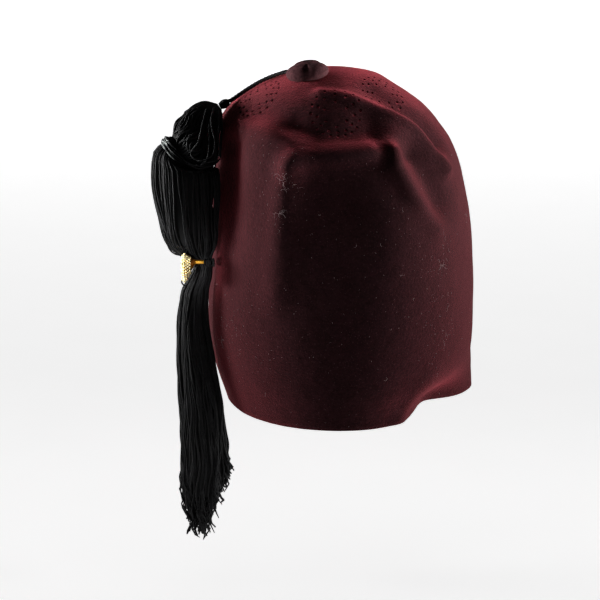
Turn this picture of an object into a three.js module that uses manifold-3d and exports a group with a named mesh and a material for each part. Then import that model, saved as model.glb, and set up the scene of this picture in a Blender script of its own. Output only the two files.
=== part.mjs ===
// A soft felt fez with a pierced crown, a covered button, and a black tassel held by a gilt clasp.
// Millimetres, +Z up. The origin is near the middle of the rim's plane, where the hat sits on a head.
// +X is the wearer's right, +Y the wearer's front, and the tassel hangs on the left.

import * as THREE from "three";
import { mergeVertices } from "three/addons/utils/BufferGeometryUtils.js";
import Module from "manifold-3d";

const wasm = await Module();
wasm.setup();

const DEGREE = Math.PI / 180;
const UP = new THREE.Vector3(0, 1, 0);
const WELD = 1e-4;

// Felt body
const FELT_THICKNESS = 2.4;
const CROWN_SIDES = 54;
const OVAL_FULLNESS = 2.15;
const FOLDED_SIDE = -65;
const SIDE_CROWDING = 0.45;
const BEARING_STEP = 0.01;
const LEVEL_STEP = 0.003;

// Rings of the mesh, crowded where the felt is folded: each band ends at a level, from 0 at the top to 1.
const RING_BANDS = [
  { to: 0.14, outer: 3, inner: 2 },
  { to: 0.5, outer: 12, inner: 4 },
  { to: 0.9, outer: 5, inner: 3 },
  { to: 1, outer: 4, inner: 2 },
];

// Ovals of the plain crown from the top down: height, middle and half size across and fore-and-aft.
const SECTIONS = [
  { height: 202.0, middleX: -14.0, halfX: 0.0, middleY: -6.0, halfY: 0.0 },
  { height: 201.5, middleX: -9.5, halfX: 17.0, middleY: -1.0, halfY: 16.5 },
  { height: 198.2, middleX: -7.8, halfX: 30.0, middleY: 2.0, halfY: 31.0 },
  { height: 192.8, middleX: -8.6, halfX: 40.0, middleY: 2.0, halfY: 44.5 },
  { height: 186.6, middleX: -8.8, halfX: 49.6, middleY: 2.0, halfY: 58.0 },
  { height: 179.5, middleX: -8.4, halfX: 58.8, middleY: 2.0, halfY: 69.8 },
  { height: 171.0, middleX: -7.2, halfX: 65.4, middleY: 2.0, halfY: 78.2 },
  { height: 157.0, middleX: -3.7, halfX: 71.7, middleY: 2.0, halfY: 85.0 },
  { height: 134.8, middleX: -0.9, halfX: 76.0, middleY: 2.5, halfY: 89.0 },
  { height: 109.6, middleX: 0.8, halfX: 79.0, middleY: 3.0, halfY: 91.0 },
  { height: 82.4, middleX: 1.2, halfX: 80.7, middleY: 3.5, halfY: 92.0 },
  { height: 54.0, middleX: 0.7, halfX: 82.0, middleY: 4.0, halfY: 92.5 },
  { height: 25.0, middleX: 1.7, halfX: 80.0, middleY: 5.0, halfY: 91.8 },
  { height: 0.0, middleX: 5.6, halfX: 76.3, middleY: 5.5, halfY: 91.5 },
];

// Folds along short routes on the plain crown: how far each stands out (or in) at its two ends.
const FOLDS = [
  {
    name: "centre dent", start: -8, end: -8, half: 15.5,
    route: [[-15, -68, 179], [2, -67, 179], [15, -63, 178]],
  },
  {
    name: "left dent", start: -3, end: -5, half: 12,
    route: [[-59, -33, 183], [-46, -47, 184], [-32, -59, 182]],
  },
  {
    name: "top ridge", start: 2.5, end: 3.5, half: 5,
    route: [
      [-12, -43, 193], [1, -45, 192], [12, -47, 189], [22, -48, 185], [32, -47, 181],
      [42, -45, 175], [52, -44, 167], [58, -44, 159], [63, -43, 149],
    ],
  },
  {
    name: "top trough", start: -3.5, end: -6.5, half: 9,
    route: [[20, -34, 192], [35, -37, 183], [47, -36, 175], [57, -37, 163]],
  },
  {
    name: "shoulder", start: 4, end: 3.5, half: 7.5,
    route: [[17, -75, 166], [4, -79, 165], [-12, -80, 164], [-25, -79, 161], [-31, -78, 156]],
  },
  {
    name: "side ridge", start: 5, end: 2, half: 6.5,
    route: [
      [31, -69, 164], [32, -73, 156], [37, -73, 148],
      [42, -72, 139], [48, -70, 131], [57, -64, 117],
    ],
  },
  {
    name: "side dent", start: -10, end: -7, half: 11.5,
    route: [[44, -60, 161], [51, -58, 147], [56, -56, 133]],
  },
  {
    name: "near panel", start: -12, end: -1.5, half: 40,
    route: [[-3, -87, 131], [-3, -88, 104], [-2, -87, 19]],
  },
  {
    name: "left ridge", start: 4, end: 1.5, half: 9,
    route: [[-31, -78, 157], [-36, -78, 140], [-38, -79, 119], [-40, -79, 97], [-41, -78, 78]],
  },
  {
    name: "left hollow", start: -6, end: -2, half: 12,
    route: [[-66, -42, 158], [-66, -46, 144], [-66, -48, 128], [-66, -49, 104]],
  },
  { name: "rim lip", start: 2.5, end: 1, half: 7, route: [[38, -78, 2], [46, -73, 16], [54, -66, 26]] },
  { name: "right flare", start: 3, end: 2, half: 14, route: [[81, 14, 0], [81, 12, 14]] },
  { name: "far dent", start: -4, end: -2, half: 20, route: [[10, 62, 181], [30, 82, 151]] },
  { name: "far slump", start: -4, end: -1, half: 26, route: [[-45, 70, 130], [-38, 82, 50]] },
];

// The corner of the rim that is folded under: place, push inwards, lift, and its reach each way.
const RIM_TUCK = { x: 69, y: -45, pushIn: 23.5, lift: 3.5, near: 46, far: 31, rise: 17 };

// Rosettes of vent holes round the top, by bearing and by share of the way from the top to the rim.
const ROSETTES = [
  { bearing: -150, level: 0.207 },
  { bearing: -84, level: 0.226 },
  { bearing: -37.5, level: 0.18 },
  { bearing: 29, level: 0.2 },
  { bearing: 93, level: 0.205 },
  { bearing: 157, level: 0.225 },
];
const ROSETTE_RINGS = [
  { holes: 6, radius: 7.5 },
  { holes: 12, radius: 11.3 },
];
const VENT_RADIUS = 0.85;
const VENT_SIDES = 5;
const VENT_REACH = 8;

// Button, from its top down to its hollowed underside
const BUTTON_SECTIONS = [
  { radius: 0, height: 6.4 },
  { radius: 6.2, height: 6.2 },
  { radius: 9.5, height: 5.1 },
  { radius: 11.6, height: 3.5 },
  { radius: 12.5, height: 1.8 },
  { radius: 12.1, height: 0.2 },
  { radius: 10.8, height: -0.7 },
  { radius: 0, height: 0 },
];
const BUTTON_SIDES = 20;
const BUTTON_PLACE = { x: -20, y: -19, z: 200.9, leanX: 12.8, leanY: -7.1 };
const BUTTON_PINCHES = 3;
const BUTTON_PINCH = 0.1;
const BUTTON_PINCH_TURN = 270;

// Cord from the button down the left of the crown to the whipping
const CORD_RADIUS = 1.3;
const CORD_SIDES = 8;
const CORD_STEPS = 16;
const CORD_ROUTE = [
  [-31.8, -12.9, 201.5], [-33.8, -12.0, 201.1], [-37.2, -10.6, 199.8], [-41.8, -9.0, 198.0],
  [-48.3, -7.8, 194.9], [-54.1, -7.3, 191.5], [-59.5, -7.6, 188.0],
  [-63.5, -9.0, 185.4], [-66.9, -10.8, 183.5],
];

// Whipping that ties the cord's end to the tassel
const WHIPPING_FROM = [-67.4, -11.1, 183.3];
const WHIPPING_TO = [-72.2, -13.4, 180.9];
const WHIPPING_SECTIONS = [
  { radius: 0, share: 0 },
  { radius: 1.9, share: 0 },
  { radius: 2.8, share: 0.25 },
  { radius: 2.5, share: 0.5 },
  { radius: 2.9, share: 0.75 },
  { radius: 2.2, share: 1 },
  { radius: 0, share: 1 },
];
const WHIPPING_SIDES = 10;

// Tassel from the knot down: middle, tilt in degrees, half width and half depth of each section.
const TASSEL_SECTIONS = [
  { part: "bun", x: -73.0, y: -14.0, z: 180.4, tilt: 52, halfWidth: 2.2, halfDepth: 2.4 },
  { part: "bun", x: -76.6, y: -18.0, z: 178.6, tilt: 48, halfWidth: 7.7, halfDepth: 8.0 },
  { part: "bun", x: -80.6, y: -22.0, z: 174.4, tilt: 47, halfWidth: 11.2, halfDepth: 11.5 },
  { part: "bun", x: -83.0, y: -26.0, z: 169.4, tilt: 46, halfWidth: 13.9, halfDepth: 13.5 },
  { part: "bun", x: -84.9, y: -29.5, z: 165.4, tilt: 46, halfWidth: 15.1, halfDepth: 14.3 },
  { part: "bun", x: -87.6, y: -32.0, z: 161.1, tilt: 46, halfWidth: 15.3, halfDepth: 13.5 },
  { part: "bun", x: -91.4, y: -33.5, z: 157.6, tilt: 45, halfWidth: 11.5, halfDepth: 11.0 },
  { part: "neck", x: -94.5, y: -34.3, z: 158.2, tilt: 45, halfWidth: 10.2, halfDepth: 9.5 },
  { part: "neck", x: -98.7, y: -35.0, z: 154.2, tilt: 45, halfWidth: 10.2, halfDepth: 9.5 },
  { part: "skirt", x: -97.0, y: -35.2, z: 150.1, tilt: 33, halfWidth: 15.2, halfDepth: 12.0 },
  { part: "skirt", x: -93.2, y: -35.5, z: 148.6, tilt: 4, halfWidth: 19.0, halfDepth: 12.8 },
  { part: "skirt", x: -92.6, y: -35.8, z: 141.1, tilt: 6, halfWidth: 20.0, halfDepth: 13.2 },
  { part: "skirt", x: -92.3, y: -36.0, z: 133.9, tilt: 2, halfWidth: 19.6, halfDepth: 13.5 },
  { part: "skirt", x: -91.0, y: -36.0, z: 119.4, tilt: 0, halfWidth: 17.8, halfDepth: 12.5 },
  { part: "skirt", x: -89.2, y: -35.5, z: 101.1, tilt: 0, halfWidth: 14.8, halfDepth: 8.6 },
  { part: "gather", x: -86.7, y: -34.5, z: 94.3, tilt: 0, halfWidth: 9.6, halfDepth: 5.6 },
  { part: "gather", x: -82.6, y: -34.0, z: 89.2, tilt: 0, halfWidth: 5.4, halfDepth: 4.6 },
  { part: "gather", x: -84.2, y: -34.0, z: 81.2, tilt: 0, halfWidth: 6.6, halfDepth: 5.6 },
  { part: "fall", x: -87.3, y: -34.0, z: 72.6, tilt: 0, halfWidth: 8.1, halfDepth: 7.4 },
  { part: "fall", x: -89.0, y: -34.5, z: 50.0, tilt: 0, halfWidth: 9.2, halfDepth: 9.0 },
  { part: "fall", x: -86.5, y: -34.5, z: 17.5, tilt: 0, halfWidth: 12.0, halfDepth: 10.6 },
  { part: "fall", x: -84.7, y: -34.5, z: 0.0, tilt: 0, halfWidth: 13.1, halfDepth: 11.2 },
  { part: "fall", x: -83.4, y: -34.5, z: -18.0, tilt: 0, halfWidth: 14.0, halfDepth: 11.6 },
  { part: "fall", x: -82.4, y: -34.5, z: -36.0, tilt: 0, halfWidth: 14.3, halfDepth: 11.6 },
  { part: "fall", x: -83.0, y: -34.5, z: -47.0, tilt: 0, halfWidth: 14.0, halfDepth: 11.0 },
  { part: "fall", x: -83.6, y: -34.5, z: -57.0, tilt: 0, halfWidth: 9.5, halfDepth: 7.5 },
];
const TASSEL_LOCKS = 10;
const SIDES_PER_LOCK = 3;
const LOCK_GROOVE = 0.14;

// Loose ends of the locks, going round from the right: how far below the rim each one reaches.
const LOCK_ENDS = [
  { drop: 58 }, { drop: 64 }, { drop: 80 }, { drop: 76 }, { drop: 68 },
  { drop: 66 }, { drop: 76 }, { drop: 86 }, { drop: 84 }, { drop: 68 },
];
const LOCK_END_TOP = -40;
const LOCK_END_MIDDLE = { x: -83.2, y: -34.5 };
const LOCK_END_SPREAD = { top: 8.6, bottom: 7.0 };
const LOCK_END_WIDE = 4.2;
const LOCK_END_NARROW = 2.6;
const LOCK_END_SIDES = 5;

// Winding round the neck: a rounded band of turns, as radius and place along the neck.
const WINDING_MIDDLE = [-96.6, -34.65, 156.2];
const WINDING_TILT = 45;
const WINDING_SIDES = 20;
const WINDING_FLATTEN = 0.94;
const WINDING_PROFILE = [
  { radius: 10.7, along: -2.3 },
  { radius: 11.6, along: -2.3 },
  { radius: 12.2, along: -1.55 },
  { radius: 11.7, along: -0.8 },
  { radius: 12.3, along: 0 },
  { radius: 11.7, along: 0.8 },
  { radius: 12.2, along: 1.55 },
  { radius: 11.6, along: 2.3 },
  { radius: 10.7, along: 2.3 },
];

// Gilt clasp from its stone-set face at the left, along its conical back and post to the felt.
const CLASP_SECTIONS = [
  { x: -94.2, z: 88.8, radius: 0 },
  { x: -94.0, z: 88.8, radius: 5.0 },
  { x: -93.6, z: 88.8, radius: 7.6 },
  { x: -93.0, z: 88.8, radius: 8.2 },
  { x: -92.2, z: 88.9, radius: 7.7 },
  { x: -89.4, z: 90.7, radius: 4.4 },
  { x: -87.2, z: 92.1, radius: 1.9 },
  { x: -86.3, z: 92.4, radius: 1.15 },
  { x: -80.6, z: 92.4, radius: 1.15 },
  { x: -80.6, z: 92.4, radius: 0 },
];
const CLASP_SIDES = 14;
const CLASP_Y = -44;
const CLASP_NARROW = 0.8;

const vector = ([x, y, z]) => new THREE.Vector3(x, y, z);

// Only positions are kept, equal points are merged, and triangles of no area are dropped.
function weld(geometry) {
  const bare = new THREE.BufferGeometry();
  bare.setAttribute("position", geometry.getAttribute("position").clone());
  bare.setIndex(geometry.getIndex());
  const merged = mergeVertices(bare, WELD);
  const old = merged.getIndex().array;
  const kept = [];
  for (let corner = 0; corner < old.length; corner += 3) {
    const [a, b, c] = [old[corner], old[corner + 1], old[corner + 2]];
    if (a !== b && b !== c && c !== a) {
      kept.push(a, b, c);
    }
  }
  merged.setIndex(kept);
  return merged;
}

function toSolid(geometry) {
  const welded = weld(geometry);
  return new wasm.Manifold(new wasm.Mesh({
    numProp: 3,
    vertProperties: Float32Array.from(welded.getAttribute("position").array),
    triVerts: Uint32Array.from(welded.getIndex().array),
  }));
}

function toGeometry(solid) {
  const mesh = solid.getMesh();
  const geometry = new THREE.BufferGeometry();
  geometry.setAttribute("position", new THREE.Float32BufferAttribute(mesh.vertProperties, 3));
  geometry.setIndex(Array.from(mesh.triVerts));
  return geometry;
}

// A closed skin turned on a lathe and then pushed into place: rings run from the top to the bottom,
// and the first and last rings are single points.
function skin(ringCount, sides, place) {
  const profile = Array.from({ length: ringCount }, (_, ring) => {
    const atEnd = ring === 0 || ring === ringCount - 1;
    return new THREE.Vector2(atEnd ? 0 : 1, ring);
  });
  const lathe = new THREE.LatheGeometry(profile, sides);
  const position = lathe.getAttribute("position");
  for (let side = 0; side <= sides; side += 1) {
    const angle = (-2 * Math.PI * (side % sides)) / sides;
    for (let ring = 0; ring < ringCount; ring += 1) {
      const point = place(ring, angle);
      position.setXYZ(side * ringCount + ring, point.x, point.y, point.z);
    }
  }
  return weld(lathe);
}

// Share of the way down the crown at which each section lies, by length along the felt.
const SECTION_LEVELS = (() => {
  const lengths = [0];
  for (let row = 1; row < SECTIONS.length; row += 1) {
    const above = SECTIONS[row - 1];
    const below = SECTIONS[row];
    const wide = Math.hypot(below.halfX - above.halfX, below.halfY - above.halfY) / Math.SQRT2;
    lengths.push(lengths[row - 1] + Math.hypot(below.height - above.height, wide));
  }
  return lengths.map((length) => length / lengths[lengths.length - 1]);
})();

function slopeAt(row, column) {
  const last = SECTIONS.length - 1;
  const from = Math.max(row - 1, 0);
  const to = Math.min(row + 1, last);
  if (row === 0 && column === "height") {
    return 0;
  }
  return (SECTIONS[to][column] - SECTIONS[from][column]) / (SECTION_LEVELS[to] - SECTION_LEVELS[from]);
}

// A smooth value of one column of the section table at any level.
function sectionValue(level, column) {
  let row = 0;
  while (row < SECTIONS.length - 2 && SECTION_LEVELS[row + 1] <= level) {
    row += 1;
  }
  const span = SECTION_LEVELS[row + 1] - SECTION_LEVELS[row];
  const u = (level - SECTION_LEVELS[row]) / span;
  const u2 = u * u;
  const u3 = u2 * u;
  return (2 * u3 - 3 * u2 + 1) * SECTIONS[row][column]
    + (u3 - 2 * u2 + u) * span * slopeAt(row, column)
    + (3 * u2 - 2 * u3) * SECTIONS[row + 1][column]
    + (u3 - u2) * span * slopeAt(row + 1, column);
}

function plainPoint(bearing, level) {
  const cos = Math.cos(bearing);
  const sin = Math.sin(bearing);
  const round = (Math.abs(cos) ** OVAL_FULLNESS + Math.abs(sin) ** OVAL_FULLNESS) ** (-1 / OVAL_FULLNESS);
  return new THREE.Vector3(
    sectionValue(level, "middleX") + sectionValue(level, "halfX") * cos * round,
    sectionValue(level, "middleY") + sectionValue(level, "halfY") * sin * round,
    sectionValue(level, "height"),
  );
}

// Outward direction of a surface given by bearing and level.
function outward(surface, bearing, level) {
  if (level < LEVEL_STEP) {
    return new THREE.Vector3(0, 0, 1);
  }
  const lower = Math.min(level + LEVEL_STEP, 1);
  const upper = lower - 2 * LEVEL_STEP;
  const down = surface(bearing, lower).sub(surface(bearing, upper));
  const round = surface(bearing + BEARING_STEP, level).sub(surface(bearing - BEARING_STEP, level));
  return down.cross(round).normalize();
}

// How far one fold moves a point of the plain crown, fading with distance from the fold's route.
function foldHeight(point, fold) {
  const stops = fold.route.map(vector);
  const legs = stops.slice(1).map((stop, leg) => stop.distanceTo(stops[leg]));
  const total = legs.reduce((sum, leg) => sum + leg, 0);
  let best = { distance: Infinity, share: 0 };
  let passed = 0;
  legs.forEach((length, leg) => {
    const line = new THREE.Line3(stops[leg], stops[leg + 1]);
    const nearest = line.closestPointToPoint(point, true, new THREE.Vector3());
    const distance = nearest.distanceTo(point);
    if (distance < best.distance) {
      best = { distance, share: (passed + nearest.distanceTo(stops[leg])) / total };
    }
    passed += length;
  });
  const height = fold.start + (fold.end - fold.start) * best.share;
  return height * Math.exp(-((best.distance / fold.half) ** 2));
}

// How strongly the folded-under corner of the rim acts on a point, from 0 to 1.
function tuckShare(point) {
  const dx = point.x - RIM_TUCK.x;
  const dy = point.y - RIM_TUCK.y;
  const along = dy * RIM_TUCK.x - dx * RIM_TUCK.y;
  const half = along < 0 ? RIM_TUCK.near : RIM_TUCK.far;
  return Math.exp(-((Math.hypot(dx, dy) / half) ** 2) - (point.z / RIM_TUCK.rise) ** 2);
}

function outerPoint(bearing, level) {
  const plain = plainPoint(bearing, level);
  const tuck = tuckShare(plain);
  const move = FOLDS.reduce((sum, fold) => sum + foldHeight(plain, fold), -RIM_TUCK.pushIn * tuck);
  const point = plain.clone().addScaledVector(outward(plainPoint, bearing, level), move);
  point.z += RIM_TUCK.lift * tuck;
  return point;
}

function innerPoint(bearing, level) {
  return outerPoint(bearing, level).addScaledVector(outward(outerPoint, bearing, level), -FELT_THICKNESS);
}

// Levels of the rings on one face of the felt, from the top to the rim.
function ringLevels(face) {
  const levels = [0];
  RING_BANDS.forEach((band, index) => {
    const from = index === 0 ? 0 : RING_BANDS[index - 1].to;
    for (let ring = 1; ring <= band[face]; ring += 1) {
      levels.push(from + ((band.to - from) * ring) / band[face]);
    }
  });
  return levels;
}

function feltShell() {
  const outer = ringLevels("outer");
  const inner = ringLevels("inner").reverse();
  return skin(outer.length + inner.length, CROWN_SIDES, (ring, angle) => {
    const bearing = angle - SIDE_CROWDING * Math.sin(angle - FOLDED_SIDE * DEGREE);
    if (ring < outer.length) {
      return outerPoint(bearing, outer[ring]);
    }
    return innerPoint(bearing, inner[ring - outer.length]);
  });
}

// Bearings and levels of the holes of one rosette, laid out as on a flat piece of felt.
function ventSpots({ bearing, level }) {
  const middle = bearing * DEGREE;
  const ahead = outerPoint(middle + BEARING_STEP, level);
  const behind = outerPoint(middle - BEARING_STEP, level);
  const around = ahead.distanceTo(behind) / (2 * BEARING_STEP);
  const down = outerPoint(middle, level + LEVEL_STEP).distanceTo(outerPoint(middle, level - LEVEL_STEP));
  const perLevel = down / (2 * LEVEL_STEP);
  return ROSETTE_RINGS.flatMap(({ holes, radius }) => Array.from({ length: holes }, (_, hole) => {
    const turn = (2 * Math.PI * hole) / holes;
    const out = around + radius * Math.cos(turn);
    const aside = radius * Math.sin(turn);
    return {
      bearing: middle + Math.atan2(aside, out),
      level: level + (Math.hypot(out, aside) - around) / perLevel,
    };
  }));
}

function ventCutter({ bearing, level }) {
  const axis = outward(outerPoint, bearing, level);
  const cutter = new THREE.CylinderGeometry(VENT_RADIUS, VENT_RADIUS, VENT_REACH, VENT_SIDES);
  const middle = outerPoint(bearing, level).addScaledVector(axis, -FELT_THICKNESS / 2);
  cutter.applyQuaternion(new THREE.Quaternion().setFromUnitVectors(UP, axis));
  cutter.translate(middle.x, middle.y, middle.z);
  return toSolid(cutter);
}

function feltCrown() {
  const vents = ROSETTES.flatMap(ventSpots).map(ventCutter);
  return toGeometry(vents.reduce((felt, vent) => felt.subtract(vent), toSolid(feltShell())));
}

function crownButton() {
  const { x, y, z, leanX, leanY } = BUTTON_PLACE;
  const lean = new THREE.Euler(leanX * DEGREE, leanY * DEGREE, 0);
  const top = BUTTON_SECTIONS[0].height;
  return skin(BUTTON_SECTIONS.length, BUTTON_SIDES, (ring, angle) => {
    const { radius, height } = BUTTON_SECTIONS[ring];
    const crease = Math.max(Math.cos(BUTTON_PINCHES * angle + BUTTON_PINCH_TURN * DEGREE), 0) ** 2;
    const pinched = radius * (1 - BUTTON_PINCH * crease * (height / top));
    return new THREE.Vector3(pinched * Math.cos(angle), pinched * Math.sin(angle), height)
      .applyEuler(lean)
      .add(new THREE.Vector3(x, y, z));
  });
}

function tasselCord() {
  const ring = Array.from({ length: CORD_SIDES }, (_, side) => {
    const angle = (2 * Math.PI * side) / CORD_SIDES;
    return new THREE.Vector2(CORD_RADIUS * Math.cos(angle), CORD_RADIUS * Math.sin(angle));
  });
  const route = new THREE.CatmullRomCurve3(CORD_ROUTE.map(vector));
  return new THREE.ExtrudeGeometry(new THREE.Shape(ring), { steps: CORD_STEPS, extrudePath: route });
}

function cordWhipping() {
  const from = vector(WHIPPING_FROM);
  const axis = vector(WHIPPING_TO).sub(from);
  const down = new THREE.Vector3(0, 0, -1);
  const turn = new THREE.Quaternion().setFromUnitVectors(down, axis.clone().normalize());
  return skin(WHIPPING_SECTIONS.length, WHIPPING_SIDES, (ring, angle) => {
    const { radius, share } = WHIPPING_SECTIONS[ring];
    return new THREE.Vector3(radius * Math.cos(angle), radius * Math.sin(angle), 0)
      .applyQuaternion(turn)
      .add(from)
      .addScaledVector(axis, share);
  });
}

// A point of the bundle on one section, with grooves between its locks.
function bundlePoint({ x, y, z, tilt, halfWidth, halfDepth }, angle, reach) {
  const groove = LOCK_GROOVE * (0.5 - 0.5 * Math.cos(TASSEL_LOCKS * angle));
  const across = halfWidth * reach * (1 - groove) * Math.cos(angle);
  const deep = halfDepth * reach * (1 - groove) * Math.sin(angle);
  const lean = tilt * DEGREE;
  return new THREE.Vector3(x + across * Math.cos(lean), y + deep, z - across * Math.sin(lean));
}

function lockEnd({ drop }, lock) {
  const angle = (2 * Math.PI * lock) / TASSEL_LOCKS;
  const length = LOCK_END_TOP + drop;
  const end = new THREE.CylinderGeometry(LOCK_END_WIDE, LOCK_END_NARROW, length, LOCK_END_SIDES);
  end.rotateX(Math.PI / 2);
  const position = end.getAttribute("position");
  for (let corner = 0; corner < position.count; corner += 1) {
    const atTop = position.getZ(corner) > 0;
    const spread = atTop ? LOCK_END_SPREAD.top : LOCK_END_SPREAD.bottom;
    position.setXYZ(
      corner,
      position.getX(corner) + LOCK_END_MIDDLE.x + spread * Math.cos(angle),
      position.getY(corner) + LOCK_END_MIDDLE.y + spread * Math.sin(angle),
      atTop ? LOCK_END_TOP : -drop,
    );
  }
  return toSolid(end);
}

function tasselBundle() {
  const rows = TASSEL_SECTIONS.length;
  const sides = TASSEL_LOCKS * SIDES_PER_LOCK;
  const bundle = skin(rows + 2, sides, (ring, angle) => {
    const row = Math.min(Math.max(ring - 1, 0), rows - 1);
    const atEnd = ring === 0 || ring === rows + 1;
    return bundlePoint(TASSEL_SECTIONS[row], angle, atEnd ? 0 : 1);
  });
  return toGeometry(LOCK_ENDS.map(lockEnd).reduce((whole, end) => whole.add(end), toSolid(bundle)));
}

function tasselWinding() {
  const loop = [...WINDING_PROFILE, WINDING_PROFILE[0]];
  const profile = loop.map(({ radius, along }) => new THREE.Vector2(radius, along));
  const band = new THREE.LatheGeometry(profile, WINDING_SIDES);
  band.rotateX(Math.PI / 2);
  band.scale(1, WINDING_FLATTEN, 1);
  band.rotateY(WINDING_TILT * DEGREE);
  band.translate(...WINDING_MIDDLE);
  return weld(band);
}

function tasselClasp() {
  return skin(CLASP_SECTIONS.length, CLASP_SIDES, (ring, angle) => {
    const { x, z, radius } = CLASP_SECTIONS[ring];
    const rounded = radius > CLASP_SECTIONS[CLASP_SECTIONS.length - 2].radius;
    const narrow = rounded ? CLASP_NARROW : 1;
    const deep = radius * narrow * Math.sin(angle);
    return new THREE.Vector3(x, CLASP_Y + deep, z + radius * Math.cos(angle));
  });
}

const LOOKS = {
  felt: { color: "#4a2029", roughness: 0.95, metalness: 0 },
  buttonFelt: { color: "#2f1c1e", roughness: 0.95, metalness: 0 },
  rayon: { color: "#0d0d0e", roughness: 0.55, metalness: 0 },
  metalThread: { color: "#7d8080", roughness: 0.4, metalness: 0.6 },
  gilt: { color: "#cf9a3a", roughness: 0.3, metalness: 1 },
};

const PIECES = [
  { name: "felt_crown", geometry: feltCrown(), look: "felt" },
  { name: "crown_button", geometry: crownButton(), look: "buttonFelt" },
  { name: "tassel_cord", geometry: tasselCord(), look: "rayon" },
  { name: "cord_whipping", geometry: cordWhipping(), look: "metalThread" },
  { name: "tassel", geometry: tasselBundle(), look: "rayon" },
  { name: "tassel_winding", geometry: tasselWinding(), look: "metalThread" },
  { name: "tassel_clasp", geometry: tasselClasp(), look: "gilt" },
];

const hat = new THREE.Group();
PIECES.forEach(({ name, geometry, look }) => {
  const mesh = new THREE.Mesh(geometry, new THREE.MeshStandardMaterial(LOOKS[look]));
  mesh.name = name;
  hat.add(mesh);
});

export default hat;
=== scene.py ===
"""A soft felt fez with a pierced crown, a covered button, and a black tassel held by a gilt clasp."""
import math
from functools import partial

import bpy
import numpy as np
from bpy.props import FloatProperty, FloatVectorProperty, IntProperty, PointerProperty
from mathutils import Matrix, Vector, noise


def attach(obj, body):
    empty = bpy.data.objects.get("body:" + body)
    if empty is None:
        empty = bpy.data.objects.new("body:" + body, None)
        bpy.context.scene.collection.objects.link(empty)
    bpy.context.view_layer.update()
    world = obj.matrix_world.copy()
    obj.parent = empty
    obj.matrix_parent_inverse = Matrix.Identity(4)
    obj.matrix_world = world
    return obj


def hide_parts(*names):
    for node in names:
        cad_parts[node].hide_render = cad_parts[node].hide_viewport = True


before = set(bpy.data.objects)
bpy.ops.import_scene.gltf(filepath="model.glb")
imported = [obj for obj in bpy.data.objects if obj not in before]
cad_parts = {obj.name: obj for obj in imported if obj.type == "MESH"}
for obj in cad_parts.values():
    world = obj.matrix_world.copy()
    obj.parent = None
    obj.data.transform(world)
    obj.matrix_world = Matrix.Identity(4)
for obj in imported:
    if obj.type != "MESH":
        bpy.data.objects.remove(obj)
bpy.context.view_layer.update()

bl_info = {
    "name": "Felt Fez",
    "version": (1, 0, 0),
    "blender": (4, 5, 0),
    "location": "3D View > Sidebar > Fez",
    "description": "Builds a slumped felt fez with vent rosettes, a button and a thread tassel",
    "category": "Add Mesh",
}

BODY = "root"
DEEP = np.array([0.0, 1.0, 0.0])

# All sizes below are in millimetres; MM turns them into the frame's metres.
MM = 0.001
# Seeds of the random draws
TASSEL_SEED, TIE_SEED, LINT_SEED = 11, 3, 29

# Felt crown, from the top of the crown down to the rim:
# height, middle in X, half width in X, middle in Y, half width in Y
CROWN_SECTIONS = np.array([
    (202.0, -14.0, 0.0, -6.0, 0.0),
    (201.5, -9.5, 17.0, -1.0, 16.5),
    (198.2, -7.8, 30.0, 2.0, 31.0),
    (192.8, -8.6, 40.0, 2.0, 44.5),
    (186.6, -8.8, 49.6, 2.0, 58.0),
    (179.5, -8.4, 58.8, 2.0, 69.8),
    (171.0, -7.2, 65.4, 2.0, 78.2),
    (157.0, -3.7, 71.7, 2.0, 85.0),
    (134.8, -0.9, 76.0, 2.5, 89.0),
    (109.6, 0.8, 79.0, 3.0, 91.0),
    (82.4, 1.2, 80.7, 3.5, 92.0),
    (54.0, 0.7, 82.0, 4.0, 92.5),
    (25.0, 1.7, 80.0, 5.0, 91.8),
    (0.0, 5.6, 76.3, 5.5, 91.5),
])
OVAL_FULLNESS = 2.15

# Folds and dents: height at the start and at the end, half width, and the route on the plain crown
CROWN_FOLDS = {
    "centre dent": (-8.0, -8.0, 15.5, [(-15, -68, 179), (2, -67, 179), (15, -63, 178)]),
    "left dent": (-3.0, -5.0, 12.0, [(-59, -33, 183), (-46, -47, 184), (-32, -59, 182)]),
    "top ridge": (2.5, 3.5, 5.0, [
        (-12, -43, 193), (1, -45, 192), (12, -47, 189), (22, -48, 185), (32, -47, 181),
        (42, -45, 175), (52, -44, 167), (58, -44, 159), (63, -43, 149)]),
    "top trough": (-3.5, -6.5, 9.0, [(20, -34, 192), (35, -37, 183), (47, -36, 175), (57, -37, 163)]),
    "shoulder": (4.0, 3.5, 7.5, [
        (17, -75, 166), (4, -79, 165), (-12, -80, 164), (-25, -79, 161), (-31, -78, 156)]),
    "side ridge": (5.0, 2.0, 6.5, [
        (31, -69, 164), (32, -73, 156), (37, -73, 148), (42, -72, 139), (48, -70, 131), (57, -64, 117)]),
    "side dent": (-10.0, -7.0, 11.5, [(44, -60, 161), (51, -58, 147), (56, -56, 133)]),
    "near panel": (-12.0, -1.5, 40.0, [(-3, -87, 131), (-3, -88, 104), (-2, -87, 19)]),
    "left ridge": (4.0, 1.5, 9.0, [
        (-31, -78, 157), (-36, -78, 140), (-38, -79, 119), (-40, -79, 97), (-41, -78, 78)]),
    "left hollow": (-6.0, -2.0, 12.0, [(-66, -42, 158), (-66, -46, 144), (-66, -48, 128), (-66, -49, 104)]),
    "rim lip": (2.5, 1.0, 7.0, [(38, -78, 2), (46, -73, 16), (54, -66, 26)]),
    "right flare": (3.0, 2.0, 14.0, [(81, 14, 0), (81, 12, 14)]),
    "far dent": (-4.0, -2.0, 20.0, [(10, 62, 181), (30, 82, 151)]),
    "far slump": (-4.0, -1.0, 26.0, [(-45, 70, 130), (-38, 82, 50)]),
}
RIM_TUCK = {"x": 69.0, "y": -45.0, "push_in": 23.5, "lift": 3.5, "near": 46.0, "far": 31.0, "rise": 17.0}

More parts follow.
